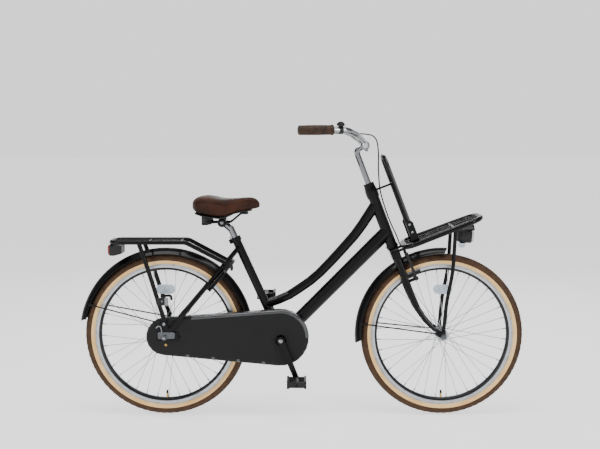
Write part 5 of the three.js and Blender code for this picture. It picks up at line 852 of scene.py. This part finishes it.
def through(points, steps=6):
    """A smooth line through points, for seams that follow a form."""
    line = []
    padded = [points[0] * 2 - points[1], *points, points[-1] * 2 - points[-2]]
    for a, b, c, d in zip(padded, padded[1:], padded[2:], padded[3:]):
        for i in range(steps):
            t = i / steps
            square, cube = 2 * a - 5 * b + 4 * c - d, 3 * b - a - 3 * c + d
            line.append(0.5 * (2 * b + (c - a) * t + square * t * t + cube * t**3))
    return [*line, points[-1]]


for side, points in zip(("right", "left"), seam_sides):
    line = through(points)
    piece("saddle_seam_" + side, sweep(line, 1.3, 10), "seat", [brown_leather])

# %% [markdown]
# Under the cover two rubber springs carry the back, and a black clamp holds the rails on the post.

# %% Saddle springs and clamp
springs = [(0, 13), (2, 17.5), (8, 19.5), (13, 17), (16, 15.5), (19, 17), (24, 19.5), (30, 17.5), (32, 13)]
cheeks, nuts = [], []
for side in (-1, 1):
    spring = spin((-348, side * 38, 712), (-348, side * 38, 744), springs, 32)
    piece(("right" if side < 0 else "left") + "_saddle_spring", spring, "seat", [black_rubber])
    hub, nut, out = [(-293.4, side * y, 718.3) for y in (29.3, 34.6, 40)]
    cheeks.append(spin(hub, out, [(0, 15.4), (1, 16.6), (4.4, 16.6), (5.4, 15)], 36))
    nuts.append(spin(nut, out, [(0, 6.4), (3.4, 6.4), (4, 5)], 6))
piece("saddle_clamp", gather(cheeks), "seat", [black_paint])
piece("saddle_clamp_nuts", gather(nuts), "seat", [zinc], sharp=30)
bolt_profile = [(0, 4.6), (0.8, 5.4), (5, 5.4), (5.2, 3), (25, 3), (25.2, 5.4), (30, 5)]
clamp_bolt = spin((-262, -15, 661), (-262, 15, 661), bolt_profile, 24)
piece("seat_clamp_bolt", clamp_bolt, "frame", [steel], sharp=30)

# %% [markdown]
# ## Lamps
# Behind the headlight's lens is a bright bowl with a small bulb. The lens is a thin dome with ribs
# moulded down its inside. Both are turned about the lamp's own level axis.

# %% Headlight
LAMP = Vector((571.76, 0, 673.16))


def lamp_turned(profile, sides=48):
    """A turned body on the lamp's axis, from (distance ahead, radius)."""
    return spin(LAMP, LAMP + Vector((100, 0, 0)), profile, sides)


dome = [
    (43.2, 30.1), (55.5, 30.1), (58, 28), (60, 22), (61.2, 12), (61.4, 1), (59.6, 1), (59.4, 11),
    (58.2, 20.5), (56.4, 26), (55, 28), (43.2, 28.2),
]  # fmt: skip
lens = piece("headlight_lens_dome", lamp_turned(dome), "steering", [clear_lens])
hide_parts("headlight_lens")
bowl = [
    (5, 4), (6, 9), (12, 16.5), (22, 22.5), (34, 27), (43, 29.9), (43, 30.2), (33, 28.4),
    (20, 24.2), (9, 17.5), (3.4, 9),
]  # fmt: skip
piece("headlight_bowl", lamp_turned(bowl), "steering", [chrome])
bulb = [(4, 3.6), (10, 3.6), (12, 4.6), (18, 5.6), (23, 4.4), (25.5, 1)]
piece("headlight_bulb", lamp_turned(bulb, 24), "steering", [clear_lens])
below_outline = ((575, 641), (601, 641), (601, 631), (593, 623.5), (579, 626))
below_lamp = skin([[(x, y, z) for x, z in below_outline] for y in (-19, 19)])
piece("front_white_reflector", below_lamp, "steering", [grey_lens], sharp=30)

# %% Tail light bezel
BEZEL = [
    (-692, 39.3, 21.3), (-706.5, 39.3, 21.3), (-707.5, 38.3, 20.3), (-707.5, 33, 15),
    (-706, 32.6, 14.6),
]  # fmt: skip
bezel_rings = []
for x, half_y, half_z in BEZEL:
    ring = []
    for k, (sy, sz) in enumerate(((1, 1), (-1, 1), (-1, -1), (1, -1))):
        for i in range(5):
            a = math.radians(90 * k + 22.5 * i)
            ring.append((x, sy * (half_y - 9) + 9 * math.cos(a), 617 + sz * (half_z - 9) + 9 * math.sin(a)))
    bezel_rings.append(ring)
piece("tail_light_bezel", skin(bezel_rings), "frame", [black_plastic])

# %% [markdown]
# ## Small parts
# What a rider would find with a spanner: the silver cap in the crank, the chain tensioner behind the
# rear axle, and the rivets and bolts of the carriers.

# %% Crank cap and tensioner
cap = spin((-78, -86.1, 289), (-78, -90, 289), [(0, 7.2), (0.6, 7.6), (1.8, 7.4), (2.8, 5.8), (3.2, 2)], 36)
piece("crank_cap", cap, "crankset", [zinc])


def flat_plate(corners, near, far):
    """A flat plate in the bike's long plane, from corners as (x, z), between two distances across."""
    return skin([[(x, near, z) for x, z in corners], [(x, far, z) for x, z in corners]])


tensioner = flat_plate(
    [(-527, 300), (-524, 296), (-470, 297), (-465, 300), (-465, 317), (-470, 320), (-523, 321), (-527, 317)],
    -77.2, -78.8,
)  # fmt: skip
piece("chain_tensioner_plate", tensioner, "frame", [dark_steel], sharp=30)
axle_end = spin((-504, -90.2, 300.5), (-504, -94, 300.5), [(0, 4.6), (2.6, 4.6), (3.4, 3.6), (3.5, 1)], 24)
hook_run = [(x, -80.6, z) for x, z in ((-533, 336), (-527, 343), (-516, 342), (-512, 322))]
hook_end = sweep(rounded(hook_run, 5, 6), 2.3, 12)
piece("tensioner_hook", gather([axle_end, hook_end]), "frame", [zinc])
slot_outline = [(-474, 286), (-426, 286), (-424, 290), (-424, 316), (-426, 320), (-474, 320)]
slot_cover = flat_plate(slot_outline, -66.4, -67.3)
piece("chain_case_slot_cover", slot_cover, "frame", [case_plastic], sharp=30)
screw = spin((-499, -67.2, 272), (-499, -71, 272), [(0, 4.6), (1.2, 4.8), (2.4, 4.4), (3.2, 2.4)], 24)
piece("tensioner_screw", screw, "frame", [brass])

# %% [markdown]
# Above the rear axle a dark bracket with a grey tab stands beside the carrier's leg, with a black
# hook over it. It was read as the place where the lower ends of carrier straps hook in.

# %% Strap hook
bracket = flat_plate([(-528, 420), (-505, 420), (-500, 424), (-501, 449), (-530, 449)], -82.4, -84.8)
tab = flat_plate([(-500, 420), (-489, 418), (-486, 422), (-487, 449), (-500, 449)], -83, -84.4)
piece("strap_hook_bracket", bracket, "frame", [black_plastic], sharp=30)
piece("strap_hook_tab", tab, "frame", [zinc], sharp=30)
hook_line = rounded([(-513, -87.2, 452), (-507, -87.2, 457), (-477, -87.2, 457.5), (-473.5, -87.2, 441)], 7, 6)
hook_rings = flat_ended(hook_line, [(9.4, 5)] * len(hook_line), 16)
piece("strap_hook", hook_rings, "frame", [black_paint])
rivet = spin((-510, -84.8, 436), (-510, -88, 436), [(0, 3.8), (0.8, 3.6), (1.8, 2.4), (2.2, 0.8)], 20)
piece("strap_hook_rivet", rivet, "frame", [zinc])

# %% Lock key
key_outline = [
    (-262, 574), (-257, 576), (-253, 572), (-251, 552), (-253, 546), (-258, 544), (-262, 548),
    (-263, 560),
]  # fmt: skip
lock_key = flat_plate(key_outline, -58, -62)
piece("lock_key", lock_key, "frame", [black_plastic], sharp=30)

# %% [markdown]
# ## Chain case
# The case's top edge carries a glossy strip from the rear cap's seam over the top and down round the front.
# Its lighter grey is a painted highlight where the rounded edge catches the light. Clips hold the lower
# edge, and a rubber ring seals the crank.

# %% Chain case outline
CASE_REAR, CASE_FRONT = Vector((-504, 0, 300.5)), Vector((-79.5, 0, 296.5))


def case_point(angle_deg, front, out, y):
    """A point off the outline of one of the case's two rounds."""
    centre, radius = (CASE_FRONT, 104.5) if front else (CASE_REAR, 69)
    a = math.radians(angle_deg)
    return centre + Vector((math.cos(a), 0, math.sin(a))) * (radius + out) + Vector((0, y, 0))


def case_run(share, angle, out, y):
    """A point off the straight run between the rounds, from the rear (0) to the front (1)."""
    return case_point(angle, False, out, y).lerp(case_point(angle, True, out, y), share)


# %% Chain case edge strip with a painted highlight
EDGE = [
    (-12, -67.5), (-8, -67.6), (-4.6, -66.5), (-1.9, -64), (-0.2, -60.4), (0.5, -57), (0.5, -50),
    (-0.8, -50), (-0.8, -57), (-1.4, -60), (-2.9, -63), (-5.2, -65.4), (-8.2, -66.6), (-12, -66.7),
]  # fmt: skip
TOP_ANGLE, LOW_ANGLE = 94.26, -95.34
painted_highlight_strip_rings = [[case_run(share, TOP_ANGLE, out, y) for out, y in EDGE] for share in (0.244, 0.4, 0.6, 0.8)]
for i in range(25):
    angle = TOP_ANGLE - (TOP_ANGLE - 1) * i / 24
    painted_highlight_strip_rings.append([case_point(angle, True, out, y) for out, y in EDGE])
# The strip's lighter grey is a painted highlight along the case's rounded top edge.
piece("chain_case_edge_painted_highlight_strip", skin(painted_highlight_strip_rings), "frame", [case_edge_highlight_and_clip_plastic])
CLIP_SHARE = 0.028
clips = []
for share in (0.2, 0.42, 0.64, 0.86):
    ends = [share, share + CLIP_SHARE]
    clips.append(skin([[case_run(here, LOW_ANGLE, out, y) for out, y in EDGE] for here in ends]))
piece("chain_case_clips", gather(clips), "frame", [case_edge_highlight_and_clip_plastic])
crank_ring = [
    (20.2, -66), (20.2, -68.4), (21.2, -69.8), (23.4, -70.2), (25.6, -69.6), (26.6, -68),
    (26.8, -67.05), (24, -67.05),
]  # fmt: skip
crank_seal = about_y(crank_ring, 64)
piece("crank_seal", crank_seal, "frame", [black_rubber], at=(-78, 0, 289))

# %% [markdown]
# ## Carriers
# The tubes of the carriers are drawn at the width that they have in the photograph, on the solids'
# own centre lines, with flat ends where they are bolted.

# %% Carrier tubes
AHEAD = Vector((math.cos(LEAN), 0, math.sin(LEAN)))
ALONG = Vector((-math.sin(LEAN), 0, math.cos(LEAN)))
STEER_FOOT = Vector((466.72, 0, 280.43))


def on_fork(x, y, z):
    """A point given ahead of the steering axis, across, and up along it."""
    return STEER_FOOT + AHEAD * x + ALONG * z + Vector((0, y, 0))


# %% Rear carrier
DECK_Z, DECK_HALF, DECK_BACK = 648, 60, -700
deck_line = [
    (-278.5, -50, 570.8), (-425, -DECK_HALF, DECK_Z), (DECK_BACK, -DECK_HALF, DECK_Z),
    (DECK_BACK, DECK_HALF, DECK_Z), (-425, DECK_HALF, DECK_Z), (-278.5, 50, 570.8),
]  # fmt: skip
deck_shapes = [sweep(rounded(deck_line, 40, 12), 8, 24)]
for x in (-445, -562.5):
    deck_shapes.append(sweep([(x, -DECK_HALF, DECK_Z), (x, DECK_HALF, DECK_Z)], 4, 16))
for y in (-22, 22):
    deck_shapes.append(sweep([(-445, y, DECK_Z), (DECK_BACK, y, DECK_Z)], 4, 16))
rear_deck = piece("rear_carrier_loop", gather(deck_shapes), "frame", [black_paint])
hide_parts("rear_carrier_deck")

# %% Rear carrier legs
LEG_LINE = [
    (-504, 76.8, 343), (-504, 76.8, 351.5), (-504, 76.8, 364), (-507, 74, 378), (-516, 71, 402),
    (-560, 65, 544), (-594.8, 60, 644),
]  # fmt: skip
LEG_SIZES = [(10, 4.8), (18, 4.8), (18, 4.8), (16.5, 10), (16.5, 16), (16.5, 16), (16.5, 16)]
for name, side in (("right_carrier_leg", -1), ("left_carrier_leg", 1)):
    leg = flat_ended([Vector((x, side * y, z)) for x, y, z in LEG_LINE], LEG_SIZES)
    head = spin((-504, side * 82.8, 351.5), (-504, side * 90, 351.5), [(0, 6.4), (3.6, 6.4), (4.6, 5), (4.9, 2)], 6)
    made = piece(name + "_tube", leg, "frame", [black_paint])
    piece(name + "_bolt", head, "frame", [zinc], sharp=30)
    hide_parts(name)

# %% Front carrier legs
LEG_RUN = [(0, 0), (0.045, 0.058), (0.115, 0.13), (0.33, 0.345), (0.65, 0.61), (0.94, 0.93), (1, 1)]
front_legs = []
for side in (-1, 1):
    line = []
    for i, (along, up) in enumerate(LEG_RUN):
        line.append(on_fork(56 + 176 * along, side * (57.8 if i < 2 else 63.5), 351.3 * up))
    line = [*line[:2], *through(line[1:], 5)[1:]]
    sizes = [(18, 3), (18, 3), *[(14, 13.6)] * (len(line) - 2)]
    front_legs.append(flat_ended(line, sizes))
    near, far = (519, side * 56.4, AXLE_Z), (519, side * 59.3, AXLE_Z)
    front_legs.append(spin(near, far, [(0, 8.6), (0.4, 9), (2.5, 9), (2.9, 8.6)], 32))
front_legs.append(sweep([on_fork(232, -70, 351.3), on_fork(232, 70, 351.3)], 5.5, 20))
legs = piece("front_carrier_leg_tubes", gather(front_legs), "steering", [black_paint])
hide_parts("front_carrier_legs")

# %% Front carrier deck
loop_line = [on_fork(44, -8, 362), on_fork(44, -110, 362), on_fork(337, -88, 362), on_fork(337, 88, 362),
             on_fork(44, 110, 362), on_fork(44, 8, 362)]  # fmt: skip
front_shapes = [sweep([*rounded(loop_line, 60, 14), on_fork(44, -8.2, 362)], 9.2, 28)]
for y in (-46, 0, 46):
    front_shapes.append(sweep([on_fork(44, y, 362), on_fork(337, y, 362)], 5.4, 18))
for x, half, radius in ((85, 106, 8), (232, 95, 5.4)):
    front_shapes.append(sweep([on_fork(x, -half, 362), on_fork(x, half, 362)], radius, 20))
for side in (-1, 1):
    lug = [[on_fork(x, side * y, z) for x, z in ((14, 350), (44, 350), (44, 359), (14, 359))] for y in (42, 50)]
    front_shapes.append(skin(lug))
front_deck = piece("front_carrier_loop", gather(front_shapes), "steering", [black_paint])
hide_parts("front_carrier_deck")

# %% Upright foot plates and rivets
for name, side in (("right", -1), ("left", 1)):
    near, far = side * 72.3, side * 75.5
    outline = [(74, 362), (96, 362), (98, 366), (98, 438), (92, 446), (78, 446), (72, 438), (72, 366)]
    foot_plate = skin([[on_fork(x, y, z) for x, z in outline] for y in (near, far)])
    piece(name + "_upright_foot_plate", foot_plate, "steering", [black_paint], sharp=30)
    rivets = [
        spin(on_fork(83, far, z), on_fork(83, far + side * 3, z), [(0, 4.6), (0.8, 4.4), (1.8, 3), (2.2, 1)], 24)
        for z in (404, 433)
    ]
    piece(name + "_upright_rivets", gather(rivets), "steering", [zinc])

# %% [markdown]
# Each spoke reflector is clipped to the spokes that pass behind it, of both sides of the wheel.

# %% Reflector clips
CLIP_UP, CLIP_REACH, CLIP_RADIUS = 170, 27, 2.4
REFLECTOR_BACK = {"front": -15.4, "rear": -14.5}
for end, w in WHEELS.items():
    posts, back = [], REFLECTOR_BACK[end]
    for k in range(SPOKES):
        start, stop, _ = spoke_ends(w, k)
        share = (CLIP_UP - start.z) / (stop.z - start.z)
        here = start.lerp(stop, share)
        if 0 < share < 1 and abs(here.x) < CLIP_REACH:
            post = [(0, CLIP_RADIUS), (abs(here.y - back) + 1.4, CLIP_RADIUS)]
            posts.append(spin((here.x, back, CLIP_UP), here + Vector((0, 1.6, 0)), post, 12))
    piece(end + "_reflector_clips", gather(posts), w["body"], [grey_lens], at=(w["x"], 0, AXLE_Z))

# %% [markdown]
# ## Sizes
# The box of the solids and the box of the dressed bike are kept side by side, and the second is printed.
# The dressed bike may not outgrow the solids.

# %% Sizes and table
low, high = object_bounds()
sizes = {"cad": [list(cad_low), list(cad_high)], "visual": [list(low), list(high)]}
print("visual box:", [round(v, 3) for v in (*low, *high)])
